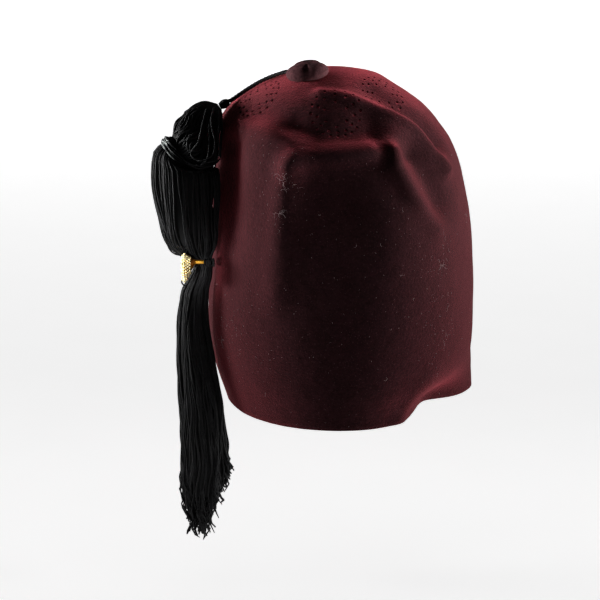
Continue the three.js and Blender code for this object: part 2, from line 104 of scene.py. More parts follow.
# Slow waves of the pressed felt: share of the depth, and width
FELT_WAVES = [(0.75, 17.0), (0.3, 6.0)]

# Mesh of the crown: sides, how far they crowd to the folded side, where its rings start, and ring counts
CROWN_SIDES = 300
SIDE_CROWDING = 0.3
OUTER_TOP, INNER_TOP = 0.006, 0.012
UPPER_RINGS, LOWER_RINGS, INNER_RINGS, RIM_STEPS = 132, 52, 64, 6
RIM_ROUNDING = 0.3
TOP_RISE = 0.1

# Vent rosettes: bearing in degrees and level on the crown; rings: hole count and radius
ROSETTES = [(-150, 0.207), (-84, 0.226), (-37.5, 0.18), (29, 0.2), (93, 0.205), (157, 0.225)]
ROSETTE_RINGS = [(6, 7.5), (12, 11.3), (18, 15.0)]
# How far each drill reaches into the felt and stands out of it
DRILL_IN, DRILL_OUT = 5.0, 3.0
DRILL_SIDES = 10

# Covered button: radius and height rows, place and lean
BUTTON_SECTIONS = np.array([
    (0.0, 6.4), (6.2, 6.2), (9.5, 5.1), (11.6, 3.5), (12.5, 1.8), (12.1, 0.2), (10.8, -0.7), (0.0, 0.0),
])
BUTTON_PLACE = (-20.0, -19.0, 200.9)
BUTTON_LEAN = (12.8, -7.1)
BUTTON_DEPTH = 0.98
BUTTON_PINCHES = 3
BUTTON_PINCH = 0.1
BUTTON_PINCH_TURN = 90.0
# Creases between the facets, and the felt's waves, which are tighter than the crown's
BUTTON_CREASE, BUTTON_CREASE_WIDTH = 0.9, 0.3
BUTTON_WAVES, BUTTON_WAVE_PACE = 0.3, 2.2
BUTTON_SPAN = (0.02, 0.985)
BUTTON_ROWS, BUTTON_SIDES = 44, 96

# Cord from the button down the left of the crown, and the whipping at its end
CORD_ROUTE = np.array([
    (-31.8, -12.9, 201.5), (-33.8, -12.0, 201.1), (-37.2, -10.6, 199.8), (-41.8, -9.0, 198.0),
    (-48.3, -7.8, 194.9), (-54.1, -7.3, 191.5), (-59.5, -7.6, 188.0),
    (-63.5, -9.0, 185.4), (-66.9, -10.8, 183.5),
])
CORD_PITCH = 7.0
CORD_PLIES = 3
CORD_STEPS, CORD_STATED_EVERY = 90, 4
# Shares of the cord's diameter
PLY_REACH, PLY_RADIUS = 0.24, 0.27
WHIPPING_ENDS = np.array([(-67.4, -11.1, 183.3), (-72.2, -13.4, 180.9)])
WHIPPING_RADII = (1.9, 2.6, 2.9, 2.6, 2.0)
WHIPPING_TURNS, WHIPPING_STEPS = 7, 30
WHIPPING_THREAD, WHIPPING_CORE_INSET = 0.5, 0.8
WHIPPING_CORE_SPAN, WHIPPING_CORE_STEPS = (0.02, 0.98), 12

# Tassel, from the knot down: x, y, z, tilt in degrees, half width, half depth
TASSEL_SECTIONS = np.array([
    (-73.0, -14.0, 180.4, 52, 2.2, 2.4),
    (-76.6, -18.0, 178.6, 48, 7.7, 8.0),
    (-80.6, -22.0, 174.4, 47, 11.2, 11.5),
    (-83.0, -26.0, 169.4, 46, 13.9, 13.5),
    (-84.9, -29.5, 165.4, 46, 15.1, 14.3),
    (-87.6, -32.0, 161.1, 46, 15.3, 13.5),
    (-91.4, -33.5, 157.6, 45, 11.5, 11.0),
    (-94.5, -34.3, 158.2, 45, 10.2, 9.5),
    (-98.7, -35.0, 154.2, 45, 10.2, 9.5),
    (-97.0, -35.2, 150.1, 33, 15.2, 12.0),
    (-93.2, -35.5, 148.6, 4, 19.0, 12.8),
    (-92.6, -35.8, 141.1, 6, 20.0, 13.2),
    (-92.3, -36.0, 133.9, 2, 19.6, 13.5),
    (-91.0, -36.0, 119.4, 0, 17.8, 12.5),
    (-89.2, -35.5, 101.1, 0, 14.8, 8.6),
    (-86.7, -34.5, 94.3, 0, 9.6, 5.6),
    (-82.6, -34.0, 89.2, 0, 5.4, 4.6),
    (-84.2, -34.0, 81.2, 0, 6.6, 5.6),
    (-87.3, -34.0, 72.6, 0, 8.1, 7.4),
    (-89.0, -34.5, 50.0, 0, 9.2, 9.0),
    (-86.5, -34.5, 17.5, 0, 12.0, 10.6),
    (-84.7, -34.5, 0.0, 0, 13.1, 11.2),
    (-83.4, -34.5, -18.0, 0, 14.0, 11.6),
    (-82.4, -34.5, -36.0, 0, 14.3, 11.6),
    (-83.0, -34.5, -47.0, 0, 14.0, 11.0),
    (-83.8, -34.5, -60.0, 0, 12.2, 9.6),
    (-84.6, -34.5, -88.0, 0, 8.4, 7.4),
])
NECK_ROW = 7
NECK_END_ROW = 8
TASSEL_LOCKS = 10
# Threads are dealt round the tassel by the golden angle, in radians.
GOLDEN_TURN = 2.39996

# Waves along a thread, size and rate: those that the threads of a lock share, and a thread's own
LOCK_WAVES, OWN_WAVES = [(0.7, 1.0), (0.4, 1.9)], [(0.45, 2.7), (0.25, 5.3)]
LOCK_PACE = (0.8, 1.8)

# Packed middle of the tassel: span and rows, reach of the body and of its closed end
CORE_SPAN, CORE_ROWS, CORE_SIDES = (0.012, 0.9), 90, 48
CORE_END, CORE_REACH, CORE_END_REACH = 0.91, 0.8, 0.2

# Skirt: share of threads on the outside, reach of the outer and inner ones, and wander in angle and reach
SKIRT_STEPS = 80
SKIRT_OUTSIDE, SKIRT_OUTER, SKIRT_INNER = 0.55, (0.94, 1.02), (0.45, 0.9)
SKIRT_SCATTER, SKIRT_BUNCHING = 0.06, 0.09
SKIRT_ANGLE_WANDER, SKIRT_REACH_WANDER, SKIRT_DRAWN_IN = 0.13, 0.045, 0.3
# The skirt's waves follow each other faster than the head's, in angle and in reach.
SKIRT_ANGLE_PACE, SKIRT_REACH_PACE = 1.4, 1.6
# Threads lie tight at the neck, and then loosen over this share of their length.
TIGHT_SHARE, LOOSENING_SHARE = 0.05, 0.2
# Ends of the skirt: drop at the sides, slope to the right, extra drop in the middle, scatter and limits
END_DROP, END_SLOPE, END_ROUND, END_SCATTER = 53, 8, 23, 5.5
END_LIMITS = (-83, -43)
# Curl of the ends: where it starts, turns and size; and the share of ends that are knotted
CURL_START, CURL_TURNS, CURL_SIZE = 0.84, (0.8, 2.6), (0.4, 3.0)
KNOTTED = 0.3
KNOT_RADII, BARE_RADII = (1.5, 1.7, 0.9), (0.9, 0.5)

# Head: the same sizes, and how far the slackest thread sags along x, y and z
HEAD_STEPS = 48
HEAD_OUTSIDE, HEAD_OUTER, HEAD_INNER = 0.72, (0.93, 1.01), (0.6, 0.9)
HEAD_ANGLE_WANDER, HEAD_REACH_WANDER, HEAD_DRAWN_IN = 0.14, 0.035, 0.4
HEAD_SAG = np.array([1.0, -1.5, -6.0])
SAG_SIDE = 0.9

# Loose loops and strays of thread, each a route, with this share of a full thread's thickness
LOOP_THREAD = 0.92
LOOP_STEPS = 48
TASSEL_LOOPS = [
    # Slack over the head, hanging down onto the skirt
    [(-75.3, -27, 182), (-76.5, -40, 177.5), (-75.8, -46, 172.5), (-74.1, -47, 164.7), (-75.3, -47.5, 157.7),
     (-79.4, -47.5, 154.8), (-84.1, -46.5, 153.4)],
    [(-72.5, -24, 181.5), (-71.9, -36, 174.8), (-72.2, -43.5, 166.5), (-71.5, -44.5, 158.4),
     (-73.1, -45.5, 154.4), (-77.1, -47, 153.2), (-81.8, -47.5, 152.4)],
    [(-79.9, -30, 181.5), (-81.7, -44.5, 173.7), (-83.9, -47.5, 164.8), (-87.3, -47.5, 160.1),
     (-88.1, -48, 157.8), (-85.8, -48.5, 154.9), (-81.1, -48.5, 154.3)],
    [(-70.9, -24, 178.5), (-70.4, -32, 170.7), (-70.9, -38, 160.9), (-71.5, -41, 154.3), (-74.9, -44, 151.0),
     (-80.6, -47, 150.3), (-85.2, -48, 151.4)],
    [(-73.5, -22, 181), (-72.9, -33, 172), (-73.4, -41, 162), (-74.8, -43, 153), (-79, -45, 149.5),
     (-84.5, -47, 149.4), (-90, -46, 152)],
    [(-72.0, -20, 179), (-71.2, -28, 168), (-72.0, -33, 157), (-75.5, -36, 149.5), (-81, -40, 147.8),
     (-87, -44, 149.2), (-92, -45, 152.5)],
    [(-76.0, -25, 181), (-77.5, -40, 173), (-77.6, -46, 163), (-78.6, -47.5, 155.5), (-82.5, -47.5, 151.2),
     (-88.0, -46.5, 151.6), (-92.5, -45.5, 154)],
    [(-72.6, -28, 156.9), (-73.4, -31, 152.6), (-74.8, -33, 148.1), (-75.4, -34, 142.3), (-74.9, -35, 135.9)],
    # Open loops under the left of the skirt
    [(-108.0, -40, 121), (-105.7, -40, 112.1), (-104.0, -41, 105.1), (-101.7, -41, 99.0), (-98.2, -41, 96.3),
     (-93.4, -42, 96.5), (-91.5, -41, 99)],
    [(-106.1, -42, 117.4), (-102.7, -42, 107.7), (-99.8, -42, 101.6), (-96.9, -42, 98.9), (-93.4, -42, 99.2),
     (-91.5, -42, 101.6), (-90.5, -42, 105)],
    [(-101.5, -43, 114), (-99.2, -43, 106.3), (-97.5, -43, 102.9), (-95.1, -43, 101.0), (-92.8, -42, 101.5),
     (-92.0, -42, 104), (-91.6, -42, 107)],
    # Strays under the clasp and at the ends
    [(-90.6, -39, 84.5), (-93.1, -40, 82.9), (-95.0, -41, 80.1), (-94.6, -41, 78.2), (-92.6, -40, 76.5)],
    [(-72.5, -35, -6), (-70.6, -35, -22), (-68.8, -35, -34), (-69.6, -35, -42), (-67.6, -35, -47)],
    [(-71.6, -38, -12), (-70.0, -38, -28), (-69.0, -38, -38), (-67.4, -38, -44)],
    [(-97.0, -35, -22), (-97.6, -35, -40), (-96.2, -35, -52), (-97.2, -35, -60)],
]

# Winding of metallic thread round the neck
WINDING_MIDDLE = np.array([-96.6, -34.65, 156.2])
WINDING_TILT = 45.0
WINDING_RADIUS = 11.4
WINDING_HALF_LENGTH = 2.3
WINDING_FLATTEN = 0.94
WINDING_TURNS, WINDING_STEPS = 6, 72
WINDING_THREAD = 0.72
# Uneven lay of the turns: size, waves for each turn, phase
WINDING_DRIFT = [(0.35, 2.3, 1.0), (0.2, 5.1, 0.0)]
WINDING_SLACK, WINDING_SLACK_PACE = 0.35, 1.7

# Clasp, from its face at the left to the end of its post: x, z, radius
CLASP_SECTIONS = np.array([
    (-94.2, 88.8, 0.0), (-94.0, 88.8, 5.0), (-93.6, 88.8, 7.6), (-93.0, 88.8, 8.2), (-92.2, 88.9, 7.7),
    (-89.4, 90.7, 4.4), (-87.2, 92.1, 1.9), (-86.3, 92.4, 1.15), (-80.6, 92.4, 1.15), (-80.6, 92.4, 0.0),
])
CLASP_Y = -44.0
CLASP_NARROW = 0.8
CLASP_ROWS, CLASP_SIDES = 50, 56
CLASP_EDGE_ROW = 3
# Stones: rings on the face, rows round the cone behind it, stones for each millimetre of radius, half sizes
STONE_FACE_X, STONE_RINGS, STONE_RING_STEP, STONES_PER_RING = -94.1, 4, 1.8, 6
STONE_ROWS = np.arange(-93.0, -89.4, 1.05)
STONES_PER_RADIUS = 3.6
STONE_HALF_HEIGHT, STONE_HALF_WIDTH = 0.8, 0.75
STONE_POLE, STONE_BANDS, STONE_SIDES = 0.1, 6, 8
# Thread tied round the post: span in x, turns, height, set back in y, narrowing, reach and lean
TIE_SPAN, TIE_TURNS, TIE_STEPS = (-80.6, -75.6), 9, 34
TIE_Z, TIE_BACK, TIE_NARROW = 92.2, 0.2, 0.9
TIE_REACH, TIE_LEAN, TIE_START = (1.7, 2.6), (-0.5, 0.5), (0, 6)
TIE_THREAD = 0.5

# Where lint has gathered on the felt: bearing in degrees, level, spread, share of the lint
LINT_PATCHES = [
    (-114, 0.42, 0.03, 0.03), (-118, 0.5, 0.03, 0.03), (-118, 0.4, 0.12, 0.1), (-147, 0.8, 0.07, 0.09),
    (-129, 0.78, 0.12, 0.1), (-46, 0.63, 0.06, 0.06), (-45, 0.8, 0.07, 0.07), (-60, 0.62, 0.16, 0.1),
    (-90, 0.7, 0.22, 0.06), (20, 0.6, 0.3, 0.1), (90, 0.55, 0.3, 0.1), (150, 0.6, 0.3, 0.09),
]

# Tangles of lint: bearing in degrees, level, hairs, length of the longest hair
LINT_TANGLES = [
    (-114.5, 0.415, 5, 10.0), (-111.0, 0.428, 2, 7.0), (-118.5, 0.5, 4, 9.0), (-46.5, 0.624, 5, 8.0),
    (-44.0, 0.79, 4, 6.0), (-147.5, 0.823, 4, 6.0), (-41.0, 0.7, 3, 6.0),
]

# Lint: one piece in so many is a hair; lengths, bends in radians, radii, and the lift off the felt
PIECES_PER_HAIR = 14
HAIR_LENGTH, SPECK_LENGTH = (1.5, 4.5), (0.1, 0.4)
HAIR_BEND, TANGLE_BEND, SPECK_BEND = (0.8, 4.5), (0.6, 3.6), 0.2
HAIR_RADIUS, SPECK_RADIUS = 0.042, (0.06, 0.16)
LINT_LIFT, LINT_LIFT_RANGE, HAIR_RISE = 0.25, 0.35, 0.5
LINT_STEPS = 15
# Scatter of the patches in bearing and level for each unit of spread, and of the tangles
BEARING_SCATTER, LEVEL_SCATTER, LINT_LEVELS = 1.6, 0.8, (0.05, 0.99)
TANGLE_BEARING, TANGLE_LEVEL, TANGLE_LENGTH = 0.03, 0.008, (0.4, 1.0)

# Stage, in metres and degrees, and the camera's sensor in millimetres
CAMERA_PLACE = (-0.02449, -1.16405, 0.34838)
CAMERA_TILT = 76
SENSOR_WIDTH = 36.0
CLIP_NEAR, CLIP_FAR = 0.05, 60.0
FLOOR_HALF = 7.0
TENT_STRENGTH = 0.12
# Lights: place, aim, size, spread, the setting that drives each one, and its share of that setting
LIGHTS = {
    "left_tent": ((-0.88, 0.1, 0.2), (0, 0, 0.2), (0.5, 0.24), 34, "side_light", 0.74),
    "right_tent": ((0.92, 0.03, 0.21), (0, 0, 0.21), (0.5, 0.24), 34, "side_light", 0.72),
    "top_tent": ((-0.02, 0.85, 0.8), (-0.01, 0, 0.09), (1.0, 0.8), 180, "top_light", 0.1),
    "back_wash": ((0.0, 3.0, 2.2), (0, 3.0, 0), (4.0, 3.0), 70, "top_light", 6),
    "clasp_glint": ((-0.35, -0.5, 0.16), (-0.09, -0.044, 0.09), (0.03, 0.03), 4, "side_light", 0.0018),
}


def linear(code):
    """An sRGB hex colour as linear red, green and blue."""
    parts = [int(code[start:start + 2], 16) / 255 for start in (1, 3, 5)]
    return tuple(part / 12.92 if part <= 0.04045 else ((part + 0.055) / 1.055) ** 2.4 for part in parts)


COLOUR = {"subtype": "COLOR", "size": 3}


class FezCrownSettings(bpy.types.PropertyGroup):
    """Felt of the crown and of its button."""
    thickness: FloatProperty(
        name="Felt thickness", description="Thickness of the felt wall",
        default=0.0024, min=0.001, max=0.003, unit="LENGTH")
    vent_radius: FloatProperty(
        name="Vent radius", description="Radius of one vent hole",
        default=0.00085, min=0.0004, max=0.0015, unit="LENGTH")
    unevenness: FloatProperty(
        name="Unevenness", description="How far the pressed felt waves in and out",
        default=0.0004, min=0.0, max=0.002, unit="LENGTH")
    felt_light: FloatVectorProperty(
        name="Felt, raised nap", description="Colour of the raised nap", default=linear("#211013"), **COLOUR)
    felt_dark: FloatVectorProperty(
        name="Felt, deep nap", description="Colour between the fibres", default=linear("#050303"), **COLOUR)
    button_light: FloatVectorProperty(
        name="Button, raised nap", description="Colour of the button's nap",
        default=linear("#4e2d30"), **COLOUR)
    button_dark: FloatVectorProperty(
        name="Button, deep nap", description="Colour in the button's creases",
        default=linear("#221214"), **COLOUR)
    felt_glow: FloatVectorProperty(
        name="Felt glow", description="Tint of the crown's nap at glancing angles",
        default=linear("#ff6471"), **COLOUR)
    button_glow: FloatVectorProperty(
        name="Button glow", description="Tint of the button's nap", default=linear("#8a565c"), **COLOUR)
    felt_sheen: FloatProperty(
        name="Felt sheen", description="Strength of the glow on the crown",
        default=0.4, min=0.0, max=1.0, subtype="FACTOR")
    button_sheen: FloatProperty(
        name="Button sheen", description="Strength of the glow on the button",
        default=0.1, min=0.0, max=1.0, subtype="FACTOR")
    lint_count: IntProperty(
        name="Lint", description="Specks and hairs of lint on the felt", default=620, min=0, max=3000)


class FezTasselSettings(bpy.types.PropertyGroup):
    """Threads of the cord, the tassel and its windings, and the clasp's metal."""
    thread: FloatProperty(
        name="Thread", description="Diameter of one tassel thread",
        default=0.00105, min=0.0005, max=0.002, unit="LENGTH")
    cord: FloatProperty(
        name="Cord", description="Diameter of the twisted cord",
        default=0.0026, min=0.0015, max=0.005, unit="LENGTH")
    skirt_threads: IntProperty(
        name="Skirt threads", description="Threads in the tassel's skirt", default=230, min=40, max=400)
    head_threads: IntProperty(
        name="Head threads", description="Threads over the tassel's head", default=150, min=40, max=300)
    thread_colour: FloatVectorProperty(
        name="Thread colour", description="Black of the rayon threads", default=linear("#0d0d0e"), **COLOUR)
    film_colour: FloatVectorProperty(
        name="Metallic thread", description="Silver of the metallic thread",
        default=linear("#6c706e"), **COLOUR)
    gilt_colour: FloatVectorProperty(
        name="Gilt", description="Gold of the clasp", default=linear("#f0b648"), **COLOUR)
    stone_colour: FloatVectorProperty(
        name="Stones", description="Pale stones set in the clasp", default=linear("#f1dfa2"), **COLOUR)


class FezStageSettings(bpy.types.PropertyGroup):
    """Floor, light and camera."""
    floor_height: FloatProperty(
        name="Floor", description="Height of the floor under the hat", default=-0.107, unit="LENGTH")
    floor_colour: FloatVectorProperty(
        name="Floor colour", description="White of the paper floor", default=linear("#fbfbfb"), **COLOUR)
    side_light: FloatProperty(
        name="Side light", description="Power of the side lights in watts, before each one's share",
        default=2.5, min=0.0, max=200.0)
    top_light: FloatProperty(
        name="Top light", description="Power of the lights behind in watts, before each one's share",
        default=2.5, min=0.0, max=200.0)
    lens: FloatProperty(
        name="Lens", description="Focal length of the camera",
        default=116.13, min=20.0, max=300.0, unit="CAMERA")


# Mesh helpers

def unit(vectors):
    """The vectors scaled to length one along the last axis."""
    return vectors / (np.linalg.norm(vectors, axis=-1, keepdims=True) + 1e-12)


def steps_of(points):
    """Distances between neighbouring points of a route."""
    return np.linalg.norm(np.diff(points, axis=0), axis=1)


def knots_of(distances):
    """Running length from 0 to 1 over a list of distances."""
    run = np.concatenate([[0.0], np.cumsum(distances)])
    return run / run[-1]


def smooth_rows(table, knots, at, flat_start=None):
    """Rows of a table read between its knots on smooth curves; column flat_start starts level."""
    slopes = np.empty_like(table)
    slopes[1:-1] = (table[2:] - table[:-2]) / (knots[2:] - knots[:-2])[:, None]
    slopes[0] = (table[1] - table[0]) / (knots[1] - knots[0])
    slopes[-1] = (table[-1] - table[-2]) / (knots[-1] - knots[-2])
    if flat_start is not None:
        slopes[0, flat_start] = 0.0
    at = np.clip(at, 0.0, 1.0)
    row = np.clip(np.searchsorted(knots, at, side="right") - 1, 0, len(knots) - 2)
    span = (knots[row + 1] - knots[row])[..., None]
    share = (at - knots[row])[..., None] / span
    return ((2 * share**3 - 3 * share**2 + 1) * table[row]
            + (share**3 - 2 * share**2 + share) * span * slopes[row]
            + (3 * share**2 - 2 * share**3) * table[row + 1]
            + (share**3 - share**2) * span * slopes[row + 1])


def smooth_route(points, count):
    """A smooth route through points, as count points in even steps."""
    points = np.asarray(points, float)
    fineness = 20
    fine = smooth_rows(points, knots_of(steps_of(points)), np.linspace(0, 1, fineness * count))
    run = knots_of(steps_of(fine))
    return np.stack([np.interp(np.linspace(0, 1, count), run, fine[:, axis]) for axis in range(3)], -1)


def grid_faces(rings, sides):
    """Quads between closed rings of equal count."""
    near = np.arange(rings - 1)[:, None] * sides
    far = near + sides
    side = np.arange(sides)[None, :]
    after = (side + 1) % sides
    return np.stack([near + side, near + after, far + after, far + side], -1).reshape(-1, 4)


def fan_faces(hub, ring, turned=False):
    """Triangles from a hub to a closed ring of points."""
    ring = np.asarray(ring)
    faces = np.stack([np.full(len(ring), hub), ring, np.roll(ring, -1)], -1)
    return faces[:, ::-1] if turned else faces


def tubes(paths, radii, sides):
    """Closed tubes along many routes of equal count: one block of points, quads, end fans and UVs."""
    paths = np.asarray(paths, float)
    many, steps = paths.shape[:2]
    radii = np.broadcast_to(radii, (many, steps))
    along = unit(np.gradient(paths, axis=1))
    across = np.empty_like(paths)
    steep = np.abs(along[:, 0, 2:]) >= 0.8
    helper = np.where(steep, [[1.0, 0.0, 0.0]], [[0.0, 0.0, 1.0]])
    across[:, 0] = unit(np.cross(along[:, 0], helper))
    for step in range(1, steps):
        kept = across[:, step - 1]
        across[:, step] = unit(kept - (kept * along[:, step]).sum(-1, keepdims=True) * along[:, step])
    beside = np.cross(along, across)
    turn = 2 * np.pi * np.arange(sides) / sides
    ring = (np.cos(turn)[:, None] * across[:, :, None] + np.sin(turn)[:, None] * beside[:, :, None])
    points = (paths[:, :, None] + radii[..., None, None] * ring).reshape(-1, 3)
    first = np.arange(many) * steps * sides
    quads = (grid_faces(steps, sides)[None] + first[:, None, None]).reshape(-1, 4)
    hubs = len(points) + np.arange(2 * many).reshape(many, 2)
    rim = np.arange(sides)
    ends = [fan_faces(hubs[one, 0], first[one] + rim, True) for one in range(many)]
    ends += [fan_faces(hubs[one, 1], first[one] + (steps - 1) * sides + rim) for one in range(many)]
    lengths = np.linalg.norm(np.diff(paths, axis=1), axis=-1)
    run = np.concatenate([np.zeros((many, 1)), np.cumsum(lengths, 1)], 1)
    uv = np.stack(np.broadcast_arrays(turn / (2 * np.pi), run[..., None]), -1).reshape(-1, 2)
    hub_points = paths[:, [0, -1]].reshape(-1, 3)
    hub_uv = np.stack([np.zeros(2 * many), run[:, [0, -1]].ravel()], -1)
    return np.concatenate([points, hub_points]), [quads, np.concatenate(ends)], np.concatenate([uv, hub_uv])


def lathe(rows, sides, place):
    """A closed turned form: place(row, angle) gives each point; the first and last rows close to a hub."""
    angle = 2 * np.pi * np.arange(sides) / sides
    rings = np.stack([place(row, angle) for row in rows])
    points = np.concatenate([rings.reshape(-1, 3), rings[[0, -1]].mean(1)])
    last = (len(rows) - 1) * sides
    faces = [grid_faces(len(rows), sides),
             np.concatenate([fan_faces(len(points) - 2, np.arange(sides), True),
                             fan_faces(len(points) - 1, last + np.arange(sides))])]
    return points, faces, np.zeros((len(points), 2))


def joined_mesh(name, blocks):
    """One smooth mesh from blocks, each of points in millimetres, lists of face arrays, and UVs."""
    points, corners, sizes, uvs, start = [], [], [], [], 0
    for block_points, face_lists, block_uv in blocks:
        for faces in face_lists:
            corners.append((faces + start).ravel())
            sizes.append(np.full(len(faces), faces.shape[1]))
        points.append(block_points)
        uvs.append(block_uv)
        start += len(block_points)
    points, corners, sizes = np.concatenate(points) * MM, np.concatenate(corners), np.concatenate(sizes)
    mesh = bpy.data.meshes.new(name)
    mesh.vertices.add(len(points))
    mesh.vertices.foreach_set("co", points.ravel())
    mesh.loops.add(len(corners))
    mesh.loops.foreach_set("vertex_index", corners.astype(np.int32))
    mesh.polygons.add(len(sizes))
    mesh.polygons.foreach_set("loop_start", (np.cumsum(sizes) - sizes).astype(np.int32))
    layer = mesh.uv_layers.new(name="UVMap")
    layer.data.foreach_set("uv", np.concatenate(uvs)[corners].astype(np.float32).ravel())
    mesh.update(calc_edges=True)
    mesh.validate()
    mesh.shade_smooth()
    return mesh


def put(name, blocks, material, slot, *nodes):
    """A piece from blocks: its material, the body it rides on, and the nodes it replaces; the slot is not
    used.
    """
    mesh = joined_mesh(name, blocks)
    piece = bpy.data.objects.new(name, mesh)
    bpy.context.scene.collection.objects.link(piece)
    mesh.materials.append(material)
    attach(piece, BODY)
    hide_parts(*nodes)
    return piece


def add_node(tree, kind, sockets=None, fields=None, stops=None):
    """One shader node with its fields and ramp stops; a socket takes a value or a (node, output) link."""
    node = tree.nodes.new("ShaderNode" + kind)
    for field, value in (fields or {}).items():
        setattr(node, field, value)
    for socket, value in (sockets or {}).items():
        if isinstance(value, tuple) and isinstance(value[0], bpy.types.Node):
            tree.links.new(value[0].outputs[value[1]], node.inputs[socket])
        else:
            node.inputs[socket].default_value = value
    for index, (position, colour) in enumerate(stops or []):
        elements = node.color_ramp.elements
        stop = elements[index] if index < 2 else elements.new(position)
        stop.position = position
        stop.color = (*colour, 1.0)
    return node


def new_material(name):
    """An empty node material, the function that adds a node to it, and the place of each of its points."""
    material = bpy.data.materials.new(name)
    material.use_nodes = True
    material.node_tree.nodes.clear()
    node = partial(add_node, material.node_tree)
    return material, node, (node("TexCoord"), "Object")


def per_metre(size):
    """Texture scale at which one feature of a noise is about this many millimetres."""
    return 1.0 / (size * MM)


# Materials

def wool_felt(name, light, dark, glow, sheen):
    """Pressed wool felt: nearly black seen square on, with a short nap that glows red at glancing angles."""
    material, node, spot = new_material(name)
    # The pressing leaves faint clouds some 20 mm across.
    cloud = node("TexNoise", {"Vector": spot, "Scale": per_metre(20), "Detail": 3.0, "Roughness": 0.55})
    # Wool fibres are 0.03 mm thick; their tufts are drawn at 1.4 mm so that they show.
    tufts = node("TexNoise", {
        "Vector": spot, "Scale": per_metre(1.4), "Detail": 5.0, "Roughness": 0.7, "Distortion": 0.6})
    # Larger rubs of the nap, about 5 mm
    rubs = node("TexNoise", {"Vector": spot, "Scale": per_metre(5), "Detail": 3.0, "Roughness": 0.6})
    cloud_share, rub_share, rub_height = 0.25, 0.35, 0.5
    weighted_sum = {"operation": "MULTIPLY_ADD"}
    patch = node("Math", {0: (cloud, "Fac"), 1: cloud_share, 2: (tufts, "Fac")}, weighted_sum)
    mixed = node("Math", {0: (rubs, "Fac"), 1: rub_share, 2: (patch, "Value")}, weighted_sum)
    middle = tuple(0.5 * (a + b) for a, b in zip(light, dark))
    colour = node("ValToRGB", {"Fac": (mixed, "Value")}, stops=[(0.55, dark), (1.0, light), (0.8, middle)])
    # Loose pale fibres, drawn 0.7 mm wide
    flecks = node("TexNoise", {"Vector": spot, "Scale": per_metre(0.7), "Detail": 1.0})
    fleck = node("MapRange", {"Value": (flecks, "Fac"), "From Min": 0.66, "From Max": 0.78, "To Max": 0.16})
    napped = node("Mix", {0: (fleck, "Result"), 6: (colour, "Color"), 7: (*linear("#8c6669"), 1.0)},
                  {"data_type": "RGBA"})
    height = node("Math", {0: (rubs, "Fac"), 1: rub_height, 2: (tufts, "Fac")}, weighted_sum)
    bump = node("Bump", {"Strength": 0.8, "Distance": 0.9 * MM, "Height": (height, "Value")})
    shader = node("BsdfPrincipled", {
        "Base Color": (napped, 2), "Normal": (bump, "Normal"), "Roughness": 0.94, "IOR": 1.53,
        "Specular IOR Level": 0.07, "Sheen Weight": sheen, "Sheen Roughness": 0.45,
        "Sheen Tint": (*glow, 1.0)})
    node("OutputMaterial", {"Surface": (shader, "BSDF")})
    return material


def rayon_thread(colour):
    """Twisted rayon thread: black with a silky gloss that breaks at each turn of the twist."""
    material, node, spot = new_material("twisted_rayon_black")
    # The twist repeats every 0.8 mm; it is drawn at 3.14 mm along the thread, which the UVs measure in
    # millimetres, so that it shows. At scale 1 the wave turns ten radians for each unit.
    twist_length, radians_per_unit = 3.14, 10
    twist = node("TexWave", {
        "Vector": (spot[0], "UV"), "Scale": 2 * math.pi / (radians_per_unit * twist_length),
        "Distortion": 0.6, "Detail": 1.0}, {"bands_direction": "DIAGONAL"})
    # Threads differ a little in depth of black, in patches about 9 mm long.
    wear = node("TexNoise", {"Vector": spot, "Scale": per_metre(9), "Detail": 3.0})
    faded = tuple(2.2 * part + 0.002 for part in colour)
    shade = node("ValToRGB", {"Fac": (wear, "Fac")}, stops=[(0.35, colour), (0.8, faded)])
    gloss = node("MapRange", {"Value": (wear, "Fac"), "To Min": 0.56, "To Max": 0.74})
    bump = node("Bump", {"Strength": 0.5, "Distance": 0.15 * MM, "Height": (twist, "Fac")})
    shader = node("BsdfPrincipled", {
        "Base Color": (shade, "Color"), "Roughness": (gloss, "Result"), "Normal": (bump, "Normal"),
        "IOR": 1.52, "Specular IOR Level": 0.12, "Sheen Weight": 0.03, "Sheen Roughness": 0.3})
    node("OutputMaterial", {"Surface": (shader, "BSDF")})
    return material


def metallic_thread(colour):
    """Metallised film wound on dark yarn: silver glints between dark gaps."""
    material, node, spot = new_material("metallised_film_thread")
    # The film's turns are 0.5 mm apart; the glints are drawn at 1.6 mm so that they show.
    glint = node("TexNoise", {"Vector": spot, "Scale": per_metre(1.6), "Detail": 2.0, "Roughness": 0.6})
    # Worn stretches where the dark yarn shows, about 6 mm
    worn = node("TexNoise", {"Vector": spot, "Scale": per_metre(6), "Detail": 2.0})
    # The film is brighter at the tassel's outer side and darker towards the hat.
    parts = node("SeparateXYZ", {"Vector": spot})
    brighter_outward = node("MapRange", {
        "Value": (parts, "X"), "From Min": -92 * MM, "From Max": -106 * MM, "To Min": 0.35, "To Max": 1.2})
    product = {"operation": "MULTIPLY"}
    film = node("Math", {0: (glint, "Fac"), 1: (brighter_outward, "Result")}, product)
    both = node("Math", {0: (film, "Value"), 1: (worn, "Fac")}, product)
    shade = node("ValToRGB", {"Fac": (both, "Value")}, stops=[(0.19, linear("#08090a")), (0.36, colour)])
    bump = node("Bump", {"Strength": 0.6, "Distance": 0.25 * MM, "Height": (glint, "Fac")})
    shader = node("BsdfPrincipled", {
        "Base Color": (shade, "Color"), "Normal": (bump, "Normal"),
        "Metallic": 0.75, "Roughness": 0.62, "Specular IOR Level": 0.2})
    node("OutputMaterial", {"Surface": (shader, "BSDF")})
    return material


